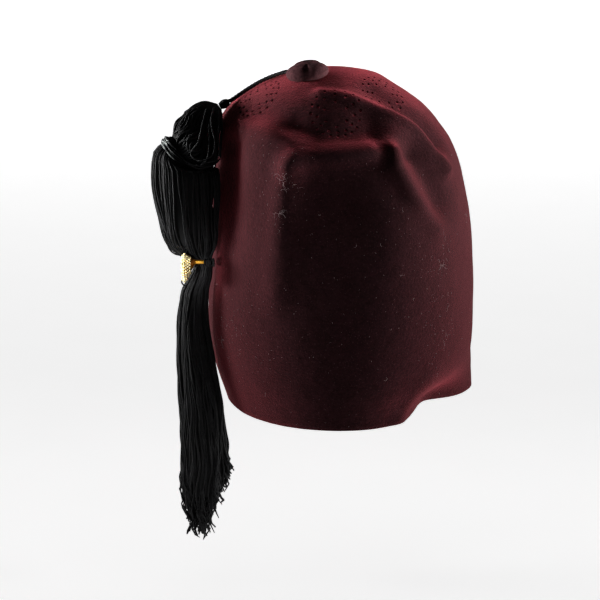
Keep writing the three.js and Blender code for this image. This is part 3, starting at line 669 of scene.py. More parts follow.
def gilt_brass(colour):
    """Polished gilt brass: warm reflections, a little dulled and scratched by handling."""
    material, node, spot = new_material("gilt_brass_polished")
    # Dull spots about 2 mm across
    dull = node("TexNoise", {"Vector": spot, "Scale": per_metre(2), "Detail": 4.0})
    deep = tuple(part * scale for part, scale in zip(colour, (0.8, 0.7, 0.48)))
    shade = node("ValToRGB", {"Fac": (dull, "Fac")}, stops=[(0.3, deep), (0.62, colour)])
    gloss = node("MapRange", {"Value": (dull, "Fac"), "To Min": 0.3, "To Max": 0.52})
    bump = node("Bump", {"Strength": 0.15, "Distance": 0.1 * MM, "Height": (dull, "Fac")})
    shader = node("BsdfPrincipled", {
        "Base Color": (shade, "Color"), "Roughness": (gloss, "Result"), "Normal": (bump, "Normal"),
        "Metallic": 1.0})
    node("OutputMaterial", {"Surface": (shader, "BSDF")})
    return material


def foiled_glass(colour):
    """Small foil-backed glass stones: pale, with painted flashes, each stone lighter or darker than the next.
    """
    material, node, spot = new_material("foiled_glass_stone")
    # Each stone is about 1.4 mm wide.
    stones = node("TexVoronoi", {"Vector": spot, "Scale": per_metre(1.4)})
    painted_flash = node("SeparateColor", {"Color": (stones, "Color")})
    # Painted flashes: each cell gets a lighter or darker tone in place of the foil's changing reflection.
    shade = node("ValToRGB", {"Fac": (painted_flash, "Red")},
                 stops=[(0.0, linear("#8f8252")), (0.4, colour), (0.2, linear("#d9cf9f"))])
    shader = node("BsdfPrincipled", {
        "Base Color": (shade, "Color"), "Roughness": 0.3, "IOR": 1.55,
        "Coat Weight": 0.5, "Coat Roughness": 0.08})
    node("OutputMaterial", {"Surface": (shader, "BSDF")})
    return material


def cotton_lint():
    """Loose cotton lint: pale, fluffy, greyer where the fibres are thin."""
    material, node, spot = new_material("cotton_lint")
    # Tangles about 0.8 mm across
    tangle = node("TexNoise", {"Vector": spot, "Scale": per_metre(0.8), "Detail": 2.0})
    shade = node("ValToRGB", {"Fac": (tangle, "Fac")},
                 stops=[(0.3, linear("#6d5256")), (0.7, linear("#c4b4b5"))])
    shader = node("BsdfPrincipled", {
        "Base Color": (shade, "Color"), "Roughness": 0.9, "Specular IOR Level": 0.2, "Sheen Weight": 0.4})
    node("OutputMaterial", {"Surface": (shader, "BSDF")})
    return material


def white_paper(colour):
    """Matt white paper with a faint cloud in the pulp, painted shade towards the front, and a painted glow.
    """
    material, node, spot = new_material("white_paper")
    # Clouds about 60 mm across
    pulp = node("TexNoise", {"Vector": spot, "Scale": per_metre(60), "Detail": 3.0})
    shade = node("ValToRGB", {"Fac": (pulp, "Fac")},
                 stops=[(0.2, tuple(0.985 * part for part in colour)), (0.8, colour)])
    # Painted shade: the paper is graded from white under the hat to grey some way in front of it.
    parts = node("SeparateXYZ", {"Vector": spot})
    painted_front_shade = node("MapRange", {"Value": (parts, "Y"), "From Min": -200 * MM, "From Max": -600 * MM},
                 {"interpolation_type": "SMOOTHSTEP"})
    shaded_paper_colour = node("Mix", {0: (painted_front_shade, "Result"), 6: (shade, "Color"), 7: (*linear("#77777a"), 1.0)},
                  {"data_type": "RGBA"})
    # The sheet glows a little, as if lit from below, so that it stays white round the hat.
    shader = node("BsdfPrincipled", {
        "Base Color": (shaded_paper_colour, 2), "Emission Color": (shaded_paper_colour, 2),
        "Roughness": 0.9, "Specular IOR Level": 0.1, "Emission Strength": 0.82})
    node("OutputMaterial", {"Surface": (shader, "BSDF")})
    return material


def once(name, make, *settings):
    """A material by name, made the first time that it is asked for."""
    return bpy.data.materials.get(name) or make(*settings)


def black_thread(settings):
    """The rayon thread that the cord, the tassel and the clasp's tie share."""
    return once("twisted_rayon_black", rayon_thread, tuple(settings.thread_colour))


# Shape of the felt crown

CROWN_KNOTS = knots_of(np.hypot(
    np.diff(CROWN_SECTIONS[:, 0]),
    np.hypot(np.diff(CROWN_SECTIONS[:, 2]), np.diff(CROWN_SECTIONS[:, 4])) / math.sqrt(2)))


def plain_crown(bearing, level):
    """Points of the crown before it was dented."""
    height, middle_x, half_x, middle_y, half_y = np.moveaxis(
        smooth_rows(CROWN_SECTIONS, CROWN_KNOTS, level, flat_start=0), -1, 0)
    cos, sin = np.cos(bearing), np.sin(bearing)
    oval = (np.abs(cos) ** OVAL_FULLNESS + np.abs(sin) ** OVAL_FULLNESS) ** (-1 / OVAL_FULLNESS)
    return np.stack([middle_x + half_x * cos * oval, middle_y + half_y * sin * oval, height], -1)


def facing(surface, bearing, level, step=1e-3):
    """Outward normals of a surface given by bearing and level."""
    up, down = np.clip(level - step, 0, 1), np.clip(level + step, 0, 1)
    around = surface(bearing + step, level) - surface(bearing - step, level)
    return unit(np.cross(surface(bearing, down) - surface(bearing, up), around))


def fold_height(points, fold):
    """How far one fold lifts or presses each point of the plain crown."""
    start, end, half, route = fold
    route = np.asarray(route, float)
    shares = knots_of(steps_of(route))
    nearest = np.full(points.shape[:-1], np.inf)
    share = np.zeros(points.shape[:-1])
    for index, (one, two) in enumerate(zip(route[:-1], route[1:])):
        run = two - one
        part = np.clip(((points - one) @ run) / (run @ run), 0, 1)
        gap = np.linalg.norm(points - one - part[..., None] * run, axis=-1)
        closer = gap < nearest
        share = np.where(closer, shares[index] + part * (shares[index + 1] - shares[index]), share)
        nearest = np.minimum(gap, nearest)
    return (start + (end - start) * share) * np.exp(-(nearest / half) ** 2)


def tuck_share(points):
    """How much of the rim's tuck each point takes, 0 to 1."""
    aside = points[..., :2] - (RIM_TUCK["x"], RIM_TUCK["y"])
    side = aside[..., 1] * RIM_TUCK["x"] - aside[..., 0] * RIM_TUCK["y"]
    half = np.where(side < 0, RIM_TUCK["near"], RIM_TUCK["far"])
    return np.exp(-(np.linalg.norm(aside, axis=-1) / half) ** 2 - (points[..., 2] / RIM_TUCK["rise"]) ** 2)


def outer_crown(bearing, level):
    """Points of the felt's outer face, with its folds and the tucked rim."""
    bearing, level = np.broadcast_arrays(bearing, level)
    plain = plain_crown(bearing, level)
    lift = sum(fold_height(plain, fold) for fold in CROWN_FOLDS.values())
    tuck = tuck_share(plain)
    moved = plain + facing(plain_crown, bearing, level) * (lift - RIM_TUCK["push_in"] * tuck)[..., None]
    moved[..., 2] += RIM_TUCK["lift"] * tuck
    return moved


def felt_waves(points, depth):
    """Slow waves of the pressed felt at each point, in millimetres."""
    waves = np.array([sum(share * noise.noise(Vector(point / width)) for share, width in FELT_WAVES)
                      for point in points.reshape(-1, 3)])
    return (depth * waves).reshape(points.shape[:-1])


def crown_shell(thickness, unevenness):
    """The felt's outer face, rounded rim and inner face as one closed block."""
    turn = np.linspace(-np.pi, np.pi, CROWN_SIDES, endpoint=False)
    # Rings and sides lie closer on the folded top and the side with the most folds.
    bearing = (turn - SIDE_CROWDING * np.sin(turn + np.pi / 2))[None, :]
    outer_level = np.concatenate([np.linspace(OUTER_TOP, 0.5, UPPER_RINGS, endpoint=False),
                                  np.linspace(0.5, 1, LOWER_RINGS)])[:, None]
    inner_level = np.linspace(1, INNER_TOP, INNER_RINGS)[:, None]
    outer = outer_crown(bearing, outer_level)
    outer += facing(outer_crown, bearing, outer_level) * felt_waves(outer, unevenness)[..., None]
    inner = outer_crown(bearing, inner_level) - thickness * facing(outer_crown, bearing, inner_level)
    middle, reach = (outer[-1] + inner[0]) / 2, (outer[-1] - inner[0]) / 2
    downward = unit(outer[-1] - outer[-2]) * thickness * RIM_ROUNDING
    edge = np.stack([middle + reach * math.cos(angle) + downward * math.sin(angle)
                     for angle in np.linspace(0, math.pi, RIM_STEPS)[1:-1]])
    rings = np.concatenate([outer, edge, inner])
    top = outer[0].mean(0) + (0, 0, TOP_RISE)
    points = np.concatenate([rings.reshape(-1, 3), [top, inner[-1].mean(0)]])
    first = np.arange(CROWN_SIDES)
    last = (len(rings) - 1) * CROWN_SIDES + first
    ends = [fan_faces(len(points) - 2, first), fan_faces(len(points) - 1, last, True)]
    faces = [grid_faces(len(rings), CROWN_SIDES)[:, ::-1], np.concatenate(ends)]
    return points, faces, np.zeros((len(points), 2))


def vent_spots():
    """Bearing and level of every vent hole."""
    bearings, levels = [], []
    step = 1e-3
    for degrees, level in ROSETTES:
        bearing = math.radians(degrees)
        ahead = plain_crown(np.array([bearing + step, bearing]), np.array([level, level + step]))
        here = plain_crown(np.array(bearing), np.array(level))
        around, per_level = np.linalg.norm(ahead - here, axis=-1) / step
        for count, radius in ROSETTE_RINGS:
            angle = 2 * np.pi * np.arange(count) / count
            out, aside = around + radius * np.cos(angle), radius * np.sin(angle)
            bearings.append(bearing + np.arctan2(aside, out))
            levels.append(level + (np.hypot(out, aside) - around) / per_level)
    return np.concatenate(bearings), np.concatenate(levels)


# Shape of the button

def button_block():
    """The button's form, pinched into facets, as one closed block."""
    knots = knots_of(steps_of(BUTTON_SECTIONS))
    rows = smooth_rows(BUTTON_SECTIONS, knots, np.linspace(*BUTTON_SPAN, BUTTON_ROWS))
    lean_x, lean_y = np.radians(BUTTON_LEAN)

    def place(row, angle):
        radius, height = row
        pinch = np.cos(BUTTON_PINCHES * (angle - math.radians(BUTTON_PINCH_TURN)))
        radius = radius * (1 + 0.5 * BUTTON_PINCH * pinch)
        fold = np.clip(height / BUTTON_SECTIONS[0, 1], 0, 1)
        height = height - BUTTON_CREASE * fold * np.exp(-((pinch + 1) / BUTTON_CREASE_WIDTH) ** 2)
        x, y = radius * np.cos(angle), BUTTON_DEPTH * radius * np.sin(angle)
        return np.stack([BUTTON_PLACE[0] + x + height * lean_y, BUTTON_PLACE[1] + y - height * lean_x,
                         BUTTON_PLACE[2] + height - x * lean_y + y * lean_x], -1)

    points, faces, uv = lathe(rows, BUTTON_SIDES, place)
    outward = unit(points - np.array(BUTTON_PLACE))
    return points + outward * felt_waves(points * BUTTON_WAVE_PACE, BUTTON_WAVES)[:, None], faces, uv


# Shape of the cord and the tassel

def coil(route, along, radius, angle):
    """Points at these radii and angles round a route that runs along these directions."""
    beside = unit(np.cross(along, DEEP))
    over = np.cross(beside, along)
    return route + (radius * np.cos(angle))[..., None] * beside + (radius * np.sin(angle))[..., None] * over


def cord_plies(route, diameter):
    """Routes of the cord's plies, twisted round its own route."""
    run = np.linspace(0, steps_of(route).sum(), len(route))
    turn = 2 * np.pi * (run / CORD_PITCH + np.arange(CORD_PLIES)[:, None] / CORD_PLIES)
    return coil(route, unit(np.gradient(route, axis=0)), PLY_REACH * diameter, turn)


TASSEL_KNOTS = knots_of(steps_of(TASSEL_SECTIONS[:, :3]))


def tassel_point(share, angle, reach):
    """Points in the tassel's bundle: share down its length, angle round it, reach from its middle."""
    rows = smooth_rows(TASSEL_SECTIONS, TASSEL_KNOTS, share)
    x, y, z, tilt, half_width, half_depth = np.moveaxis(rows, -1, 0)
    tilt = np.radians(tilt)
    wide, deep = reach * half_width * np.cos(angle), reach * half_depth * np.sin(angle)
    return np.stack([x + wide * np.cos(tilt), y + deep, z - wide * np.sin(tilt)], -1)


def share_at_height(height):
    """Share down the tassel's length where its middle is at this height."""
    samples = 600
    run = np.linspace(0, 1, samples)
    heights = smooth_rows(TASSEL_SECTIONS, TASSEL_KNOTS, run)[:, 2]
    return np.interp(-np.asarray(height), -heights, run)


def wander(locks, along, dice):
    """Slow waves along each thread: most of it shared by the threads of one lock, the rest its own."""
    shared = dice.uniform(0, 2 * np.pi, (TASSEL_LOCKS * 2, 2))[locks]
    own = dice.uniform(0, 2 * np.pi, (len(locks), 2))
    pace = dice.uniform(*LOCK_PACE, TASSEL_LOCKS * 2)[locks][:, None]
    turn = 2 * np.pi * along
    waves = [size * np.sin(rate * pace * turn + phase[:, None])
             for (size, rate), phase in zip(LOCK_WAVES, shared.T)]
    waves += [size * np.sin(rate * turn + phase[:, None]) for (size, rate), phase in zip(OWN_WAVES, own.T)]
    return sum(waves)


def locks_of(angle):
    """The half lock that a thread at each angle belongs to."""
    return (angle % (2 * np.pi) / (2 * np.pi) * TASSEL_LOCKS * 2).astype(int) % (TASSEL_LOCKS * 2)


def reaches(count, outside, outer, inner, dice):
    """How far out each thread lies: the first share of them outside, the rest further in."""
    return np.where(np.arange(count) < outside * count, dice.uniform(*outer, count),
                    dice.uniform(*inner, count))


def tassel_core():
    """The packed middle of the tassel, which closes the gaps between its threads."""
    shares = np.concatenate([np.linspace(*CORE_SPAN, CORE_ROWS), [CORE_END]])
    return lathe(shares, CORE_SIDES, lambda share, angle: tassel_point(
        np.full(CORE_SIDES, share), -angle, CORE_REACH if share < CORE_SPAN[1] else CORE_END_REACH))


def skirt_routes(count, radius, dice):
    """Routes of the skirt's threads from the neck to their staggered, curled ends."""
    angle = np.arange(count) * GOLDEN_TURN + dice.normal(0, SKIRT_SCATTER, count)
    angle += SKIRT_BUNCHING * np.sin(TASSEL_LOCKS * angle)
    locks = locks_of(angle)
    reach = reaches(count, SKIRT_OUTSIDE, SKIRT_OUTER, SKIRT_INNER, dice)
    across = reach * np.cos(angle)
    drop = END_DROP - END_SLOPE * across + END_ROUND * (1 - across**2)
    ends = np.clip(-drop + dice.normal(0, END_SCATTER, count), *END_LIMITS)
    start = TASSEL_KNOTS[NECK_ROW]
    along = np.linspace(0, 1, SKIRT_STEPS)[None, :]
    share = start + (share_at_height(ends)[:, None] - start) * along
    loose = np.clip((along - TIGHT_SHARE) / LOOSENING_SHARE, 0, 1)
    swing = wander(locks, SKIRT_ANGLE_PACE * along, dice)
    spread = wander(locks, SKIRT_REACH_PACE * along, dice) - SKIRT_DRAWN_IN
    paths = tassel_point(share, angle[:, None] + SKIRT_ANGLE_WANDER * loose * swing,
                         reach[:, None] * (1 + SKIRT_REACH_WANDER * loose * spread))
    # Each thread curls over its last 20 to 40 mm.
    phase = dice.uniform(0, 2 * np.pi, (count, 1))
    curl = np.clip((along - CURL_START) / (1 - CURL_START), 0, 1) ** 1.5
    waves = 2 * np.pi * dice.uniform(*CURL_TURNS, (count, 1)) * curl + phase
    size = dice.uniform(*CURL_SIZE, (count, 1)) * curl
    paths[..., 0] += size * (np.cos(waves) - np.cos(phase))
    paths[..., 1] += size * (np.sin(waves) - np.sin(phase))
    paths[..., 2] += 0.5 * size * (np.sin(2 * waves) - np.sin(2 * phase))
    radii = np.full((count, SKIRT_STEPS), radius)
    knotted = dice.random(count) < KNOTTED
    radii[knotted, -len(KNOT_RADII):] = radius * np.array(KNOT_RADII)
    radii[~knotted, -len(BARE_RADII):] = radius * np.array(BARE_RADII)
    return paths, radii


def head_routes(count, dice):
    """Routes of the threads over the tassel's head, from the knot to the neck, some hanging slack."""
    angle = np.arange(count) * GOLDEN_TURN
    locks = locks_of(angle)
    reach = reaches(count, HEAD_OUTSIDE, HEAD_OUTER, HEAD_INNER, dice)
    along = np.linspace(0, 1, HEAD_STEPS)[None, :]
    share = TASSEL_KNOTS[NECK_END_ROW] * along * np.ones((count, 1))
    # The threads are free between the knot and the neck, where they are held.
    free = np.sin(np.pi * along) ** 0.7
    swing, spread = wander(locks, along, dice), wander(locks, along, dice) - HEAD_DRAWN_IN
    paths = tassel_point(share, angle[:, None] + HEAD_ANGLE_WANDER * free * swing,
                         reach[:, None] * (1 + HEAD_REACH_WANDER * free * spread))
    # Threads on the side by the hat and near the front hang slack in loops.
    slack = np.clip(np.cos(angle + SAG_SIDE), 0, 1) ** 2 * dice.uniform(0.0, 1.0, count)
    sag = slack[:, None] * np.sin(np.pi * along) ** 1.4
    return paths + sag[..., None] * HEAD_SAG


def neck_route():
    """Route of the thread wound round the tassel's neck."""
    tilt = math.radians(WINDING_TILT)
    wide = np.array([math.cos(tilt), 0, -math.sin(tilt)])
    down = np.cross(wide, DEEP)
    count = WINDING_TURNS * WINDING_STEPS
    angle = np.linspace(0, 2 * np.pi * WINDING_TURNS, count)
    drift = sum(size * np.sin(pace * angle + phase) for size, pace, phase in WINDING_DRIFT)
    reach = WINDING_RADIUS + WINDING_SLACK * np.sin(WINDING_SLACK_PACE * angle)
    return (WINDING_MIDDLE + (reach * np.cos(angle))[:, None] * wide
            + (WINDING_FLATTEN * reach * np.sin(angle))[:, None] * DEEP
            + (WINDING_HALF_LENGTH * np.linspace(-1, 1, count) + drift)[:, None] * down)


def whipping_blocks():
    """The thread wrapped round the end of the cord, and the knot inside it."""
    start, axis = WHIPPING_ENDS[0], WHIPPING_ENDS[1] - WHIPPING_ENDS[0]
    stations = np.linspace(0, 1, len(WHIPPING_RADII))
    run = np.linspace(0, 1, WHIPPING_TURNS * WHIPPING_STEPS)
    radius = np.interp(run, stations, WHIPPING_RADII) - WHIPPING_THREAD
    wrap = coil(start + run[:, None] * axis, unit(axis), radius, 2 * np.pi * WHIPPING_TURNS * run)
    core = start + np.linspace(*WHIPPING_CORE_SPAN, WHIPPING_CORE_STEPS)[:, None] * axis
    core_radius = np.interp(np.linspace(0, 1, WHIPPING_CORE_STEPS), stations, WHIPPING_RADII)
    return [tubes(wrap[None], WHIPPING_THREAD, sides=7),
            tubes(core[None], core_radius - WHIPPING_CORE_INSET, sides=12)]


# Shape of the clasp

def clasp_ring(row, angle):
    """One ring of the clasp's turned form."""
    x, z, radius = row
    return np.stack([np.full_like(angle, x), CLASP_Y - CLASP_NARROW * radius * np.cos(angle),
                     z + radius * np.sin(angle)], -1)


def clasp_body():
    """The clasp's face, cone and post as one closed block with sharp edges."""
    knots = knots_of(steps_of(CLASP_SECTIONS))
    at = np.unique(np.concatenate([knots, np.linspace(0, 1, CLASP_ROWS)]))
    rows = np.stack([np.interp(at, knots, CLASP_SECTIONS[:, column]) for column in range(3)], -1)
    return lathe(rows, CLASP_SIDES, clasp_ring)


def stone(centre):
    """One domed stone, standing out along x."""
    def place(lean, turn):
        across = STONE_HALF_WIDTH * math.sin(lean)
        return centre + np.stack([np.full_like(turn, -STONE_HALF_HEIGHT * math.cos(lean)),
                                  across * np.cos(turn), across * np.sin(turn)], -1)

    return lathe(np.linspace(STONE_POLE, math.pi - STONE_POLE, STONE_BANDS), STONE_SIDES, place)


def clasp_stones():
    """The stones in rings on the clasp's face and in rows round its cone."""
    face = [(STONE_FACE_X, STONE_RING_STEP * ring, max(1, STONES_PER_RING * ring))
            for ring in range(STONE_RINGS + 1)]
    cone = CLASP_SECTIONS[CLASP_EDGE_ROW:]
    radii = np.interp(STONE_ROWS, cone[:, 0], cone[:, 2])
    seats = face + [(x, radius, round(STONES_PER_RADIUS * radius)) for x, radius in zip(STONE_ROWS, radii)]
    stones = []
    for x, radius, count in seats:
        z = np.interp(x, CLASP_SECTIONS[:, 0], CLASP_SECTIONS[:, 1])
        # Every other ring on the face is turned by half a stone.
        angle = 2 * np.pi * (np.arange(count) + 0.5 * (count % 4 > 0)) / count
        stones += [stone(centre) for centre in clasp_ring((x, z, radius), angle)]
    return stones


def tie_routes(dice):
    """Turns of thread tied round the end of the clasp's post."""
    routes = []
    for x in np.linspace(*TIE_SPAN, TIE_TURNS):
        angle = np.linspace(0, 2 * np.pi, TIE_STEPS) + dice.uniform(*TIE_START)
        reach, lean = dice.uniform(*TIE_REACH), dice.uniform(*TIE_LEAN)
        routes.append(np.stack([x + lean * reach * np.cos(angle),
                                CLASP_Y - TIE_BACK + reach * TIE_NARROW * np.cos(angle),
                                TIE_Z + reach * np.sin(angle)], -1))
    return np.stack(routes)


# Shape of the lint

def lint_routes(count, dice):
    """Routes and radii of specks and curled hairs that lie on the felt."""
    shares = np.array([patch[3] for patch in LINT_PATCHES])
    picks = dice.choice(len(LINT_PATCHES), count, p=shares / shares.sum())
    patches = np.array([patch[:3] for patch in LINT_PATCHES])[picks]
    bearing = np.radians(patches[:, 0]) + dice.normal(0, 1, count) * patches[:, 2] * BEARING_SCATTER
    level = np.clip(patches[:, 1] + dice.normal(0, 1, count) * patches[:, 2] * LEVEL_SCATTER, *LINT_LEVELS)
    hair = np.arange(count) < count // PIECES_PER_HAIR
    size = np.where(hair, dice.uniform(*HAIR_LENGTH, count), dice.uniform(*SPECK_LENGTH, count))
    bend = np.where(hair, dice.uniform(*HAIR_BEND, count), SPECK_BEND)
    for degrees, middle, hairs, longest in LINT_TANGLES:
        bearing = np.append(bearing, math.radians(degrees) + dice.normal(0, TANGLE_BEARING, hairs))
        level = np.append(level, middle + dice.normal(0, TANGLE_LEVEL, hairs))
        hair = np.append(hair, np.ones(hairs, bool))
        size = np.append(size, longest * dice.uniform(*TANGLE_LENGTH, hairs))
        bend = np.append(bend, dice.uniform(*TANGLE_BEND, hairs))
    count = len(bearing)
    spots, normals = outer_crown(bearing, level), facing(outer_crown, bearing, level)
    aside = unit(np.cross(normals, dice.normal(0, 1, (count, 3))))
    along = np.cross(normals, aside)
    size = size[:, None]
    bend = bend[:, None] * dice.choice([-1, 1], (count, 1))
    run = np.linspace(-0.5, 0.5, LINT_STEPS)[None, :]
    forward = size * np.sin(bend * run) / bend
    sideways = size * (1 - np.cos(bend * run)) / bend
    lift = LINT_LIFT + LINT_LIFT_RANGE * dice.random((count, 1))
    rise = lift + HAIR_RISE * dice.random((count, 1)) * (run + 0.5) ** 2 * hair[:, None]
    paths = (spots[:, None] + forward[..., None] * along[:, None] + sideways[..., None] * aside[:, None]
             + rise[..., None] * normals[:, None])
    # Each piece tapers towards its ends, which keep a little width.
    taper = np.sqrt(1.02 - (2 * run) ** 2)
    return paths, np.where(hair, HAIR_RADIUS, dice.uniform(*SPECK_RADIUS, count))[:, None] * taper


# Stage and pieces

def white_tent():
    """A world that is dark behind the camera, where the tent is open, and white everywhere else."""
    world = bpy.data.worlds.new("white_tent")
    world.use_nodes = True
    tree = world.node_tree
    tree.nodes.clear()
    place = add_node(tree, "TexCoord")
    parts = add_node(tree, "SeparateXYZ", {"Vector": (place, "Generated")})
    depth = add_node(tree, "MapRange", {"Value": (parts, "Y"), "From Min": -1.0, "From Max": 1.0})
    shade = add_node(tree, "ValToRGB", {"Fac": (depth, "Result")},
                     stops=[(0.36, linear("#202022")), (0.56, linear("#f4f4f6"))])
    sky = add_node(tree, "Background", {"Color": (shade, "Color"), "Strength": TENT_STRENGTH})
    add_node(tree, "OutputWorld", {"Surface": (sky, "Background")})
    return world


class FEZ_OT_stage(bpy.types.Operator):
    """Sets the camera, the paper floor and the soft studio light"""
    bl_idname = "fez.stage"
    bl_label = "Stage"

    def execute(self, context):
        settings, scene = context.scene.fez_stage, context.scene
        view = bpy.data.cameras.new("view")
        view.lens, view.sensor_width = settings.lens, SENSOR_WIDTH
        view.clip_start, view.clip_end = CLIP_NEAR, CLIP_FAR
        camera = bpy.data.objects.new("view", view)
        camera.location = CAMERA_PLACE
        camera.rotation_euler = (math.radians(CAMERA_TILT), 0, 0)
        scene.collection.objects.link(camera)
        scene.camera = camera
        paper = FLOOR_HALF * np.array([(-1, -1), (1, -1), (1, 1), (-1, 1)])
        points = np.column_stack([paper, np.full(len(paper), settings.floor_height)]) / MM
        floor = bpy.data.objects.new("paper_floor", joined_mesh("paper_floor", [
            (points, [np.array([[0, 1, 2, 3]])], paper)]))
        floor.data.materials.append(once("white_paper", white_paper, tuple(settings.floor_colour)))
        scene.collection.objects.link(floor)
        for name, (place, aim, size, spread, setting, share) in LIGHTS.items():
            lamp = bpy.data.lights.new(name, "AREA")
            lamp.shape, lamp.size, lamp.size_y = "RECTANGLE", *size
            lamp.energy = share * getattr(settings, setting)
            lamp.spread = math.radians(spread)
            light = bpy.data.objects.new(name, lamp)
            light.location = place
            light.rotation_euler = (Vector(aim) - Vector(place)).to_track_quat("-Z", "Y").to_euler()
            scene.collection.objects.link(light)
        scene.world = white_tent()
        scene.view_settings.view_transform = "Standard"
        return {"FINISHED"}


class FEZ_OT_tassel_cord(bpy.types.Operator):
    """Lays the three-ply cord from the button to the whipping"""
    bl_idname = "fez.tassel_cord"
    bl_label = "Cord"

    def execute(self, context):
        settings = context.scene.fez_tassel
        diameter = settings.cord / MM
        route = smooth_route(CORD_ROUTE, CORD_STEPS)
        length = steps_of(route).sum()
        plies = tubes(cord_plies(route, diameter), PLY_RADIUS * diameter, sides=9)
        cord = put("twisted_cord", [plies], black_thread(settings), "black_rayon", "tassel_cord")
        return {"FINISHED"}


class FEZ_OT_felt_crown(bpy.types.Operator):
    """Shapes the felt crown with its folds and cuts the vent rosettes through it"""
    bl_idname = "fez.felt_crown"
    bl_label = "Felt crown"

    def execute(self, context):
        settings = context.scene.fez_crown
        felt = once("wool_felt_burgundy", wool_felt, "wool_felt_burgundy", tuple(settings.felt_light),
                    tuple(settings.felt_dark), tuple(settings.felt_glow), settings.felt_sheen)
        shell = crown_shell(settings.thickness / MM, settings.unevenness / MM)
        crown = put("crown_felt", [shell], felt, "burgundy_felt", "felt_crown")
        bearing, level = vent_spots()
        spots, normals = outer_crown(bearing, level), facing(outer_crown, bearing, level)
        drills = np.stack([spots - DRILL_IN * normals, spots + DRILL_OUT * normals], 1)
        cutter = bpy.data.objects.new("vent_drills", joined_mesh("vent_drills", [
            tubes(drills, settings.vent_radius / MM, DRILL_SIDES)]))
        context.scene.collection.objects.link(cutter)
        cut = crown.modifiers.new("vents", "BOOLEAN")
        cut.operation, cut.solver, cut.object = "DIFFERENCE", "MANIFOLD", cutter
        context.view_layer.update()
        pierced = bpy.data.meshes.new_from_object(crown.evaluated_get(context.evaluated_depsgraph_get()))
        if len(pierced.polygons) <= len(crown.data.polygons):
            raise RuntimeError("the vent holes were not cut")
        crown.modifiers.clear()
        crown.data = pierced
        pierced.name = "crown_felt_pierced"
        bpy.data.objects.remove(cutter)
        return {"FINISHED"}


class FEZ_OT_crown_button(bpy.types.Operator):
    """Makes the covered button, pinched into facets"""
    bl_idname = "fez.crown_button"
    bl_label = "Button"

    def execute(self, context):
        settings = context.scene.fez_crown
        felt = once("wool_felt_maroon", wool_felt, "wool_felt_maroon", tuple(settings.button_light),
                    tuple(settings.button_dark), tuple(settings.button_glow), settings.button_sheen)
        button = put("covered_button", [button_block()], felt, "dark_felt", "crown_button")
        return {"FINISHED"}


class FEZ_OT_tassel_threads(bpy.types.Operator):
    """Gathers the threads over the tassel's head and hangs the skirt's threads below"""
    bl_idname = "fez.tassel_threads"
    bl_label = "Tassel threads"

    def execute(self, context):
        settings = context.scene.fez_tassel
        radius = 0.5 * settings.thread / MM
        thread = black_thread(settings)
        dice = np.random.default_rng(TASSEL_SEED)
        head = tubes(head_routes(settings.head_threads, dice), radius, sides=6)
        skirt = tubes(*skirt_routes(settings.skirt_threads, radius, dice), sides=5)
        put("tassel_head_threads", [head], thread, "black_rayon", "tassel")
        put("tassel_skirt_threads", [tassel_core(), skirt], thread, "black_rayon", "tassel")
        return {"FINISHED"}


class FEZ_OT_tassel_loops(bpy.types.Operator):
    """Adds the loose loops and strays of thread on the tassel"""
    bl_idname = "fez.tassel_loops"
    bl_label = "Loose loops"

    def execute(self, context):
        settings = context.scene.fez_tassel
        paths = np.stack([smooth_route(route, LOOP_STEPS) for route in TASSEL_LOOPS])
        loops = tubes(paths, 0.5 * LOOP_THREAD * settings.thread / MM, sides=7)
        put("tassel_loose_loops", [loops], black_thread(settings), "black_rayon", "tassel")
        return {"FINISHED"}


class FEZ_OT_windings(bpy.types.Operator):
    """Winds metallic thread round the tassel's neck and the end of the cord"""
    bl_idname = "fez.windings"
    bl_label = "Windings"

    def execute(self, context):
        settings = context.scene.fez_tassel
        film = once("metallised_film_thread", metallic_thread, tuple(settings.film_colour))
        neck = tubes(neck_route()[None], WINDING_THREAD, sides=7)
        put("neck_winding_turns", [neck], film, "metallic_thread", "tassel_winding")
        put("whipping_turns", whipping_blocks(), film, "metallic_thread", "cord_whipping")
        return {"FINISHED"}


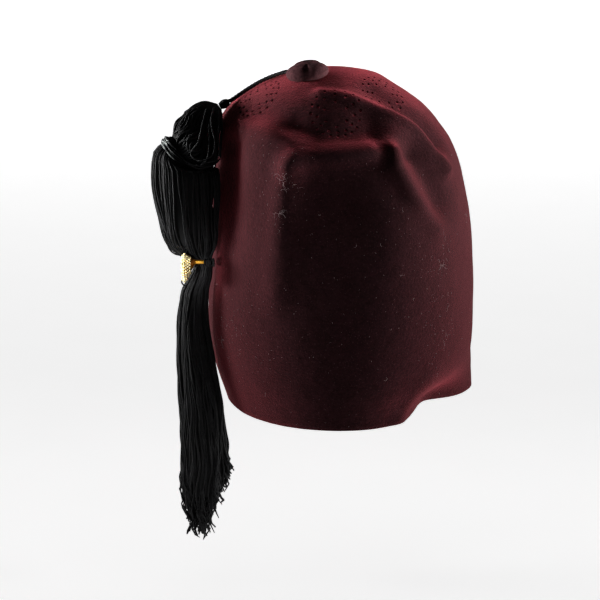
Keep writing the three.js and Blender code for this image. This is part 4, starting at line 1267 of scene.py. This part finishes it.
class FEZ_OT_clasp(bpy.types.Operator):
    """Turns the gilt clasp, sets its stones and ties thread round its post"""
    bl_idname = "fez.clasp"
    bl_label = "Clasp"

    def execute(self, context):
        settings = context.scene.fez_tassel
        gilt = once("gilt_brass_polished", gilt_brass, tuple(settings.gilt_colour))
        glass = once("foiled_glass_stone", foiled_glass, tuple(settings.stone_colour))
        ties = tubes(tie_routes(np.random.default_rng(TIE_SEED)), TIE_THREAD, sides=6)
        put("clasp_metal", [clasp_body()], gilt, "gilt_metal", "tassel_clasp")
        put("clasp_stones", clasp_stones(), glass, "gilt_metal", "tassel_clasp")
        put("clasp_thread_tie", [ties], black_thread(settings), "black_rayon", "tassel")
        return {"FINISHED"}


class FEZ_OT_lint(bpy.types.Operator):
    """Scatters specks and curled hairs of lint over the felt"""
    bl_idname = "fez.lint"
    bl_label = "Lint"

    def execute(self, context):
        dice = np.random.default_rng(LINT_SEED)
        lint = tubes(*lint_routes(context.scene.fez_crown.lint_count, dice), sides=5)
        put("felt_lint", [lint], once("cotton_lint", cotton_lint), "burgundy_felt")
        return {"FINISHED"}


OPERATORS = (
    FEZ_OT_stage, FEZ_OT_tassel_cord, FEZ_OT_felt_crown, FEZ_OT_crown_button, FEZ_OT_tassel_threads,
    FEZ_OT_tassel_loops, FEZ_OT_windings, FEZ_OT_clasp, FEZ_OT_lint,
)
SETTINGS = {"fez_crown": FezCrownSettings, "fez_tassel": FezTasselSettings, "fez_stage": FezStageSettings}


class FEZ_PT_panel(bpy.types.Panel):
    """Lists the pieces of the hat"""
    bl_idname = "FEZ_PT_panel"
    bl_label = "Fez"
    bl_space_type = "VIEW_3D"
    bl_region_type = "UI"
    bl_category = "Fez"

    def draw(self, context):
        for operator in OPERATORS:
            self.layout.operator(operator.bl_idname)
        for group in SETTINGS:
            settings = getattr(context.scene, group)
            column = self.layout.column()
            for name in settings.__annotations__:
                column.prop(settings, name)


def register():
    for group in (*SETTINGS.values(), *OPERATORS, FEZ_PT_panel):
        bpy.utils.register_class(group)
    for name, group in SETTINGS.items():
        setattr(bpy.types.Scene, name, PointerProperty(type=group))


def unregister():
    for name in SETTINGS:
        delattr(bpy.types.Scene, name)
    for group in reversed((*SETTINGS.values(), *OPERATORS, FEZ_PT_panel)):
        bpy.utils.unregister_class(group)


def main():
    register()
    bpy.ops.fez.stage()
    bpy.ops.fez.tassel_cord()
    bpy.ops.fez.felt_crown()
    bpy.ops.fez.crown_button()
    bpy.ops.fez.tassel_threads()
    bpy.ops.fez.tassel_loops()
    bpy.ops.fez.windings()
    bpy.ops.fez.clasp()
    bpy.ops.fez.lint()
    bpy.context.view_layer.update()


if __name__ == "__main__":
    main()
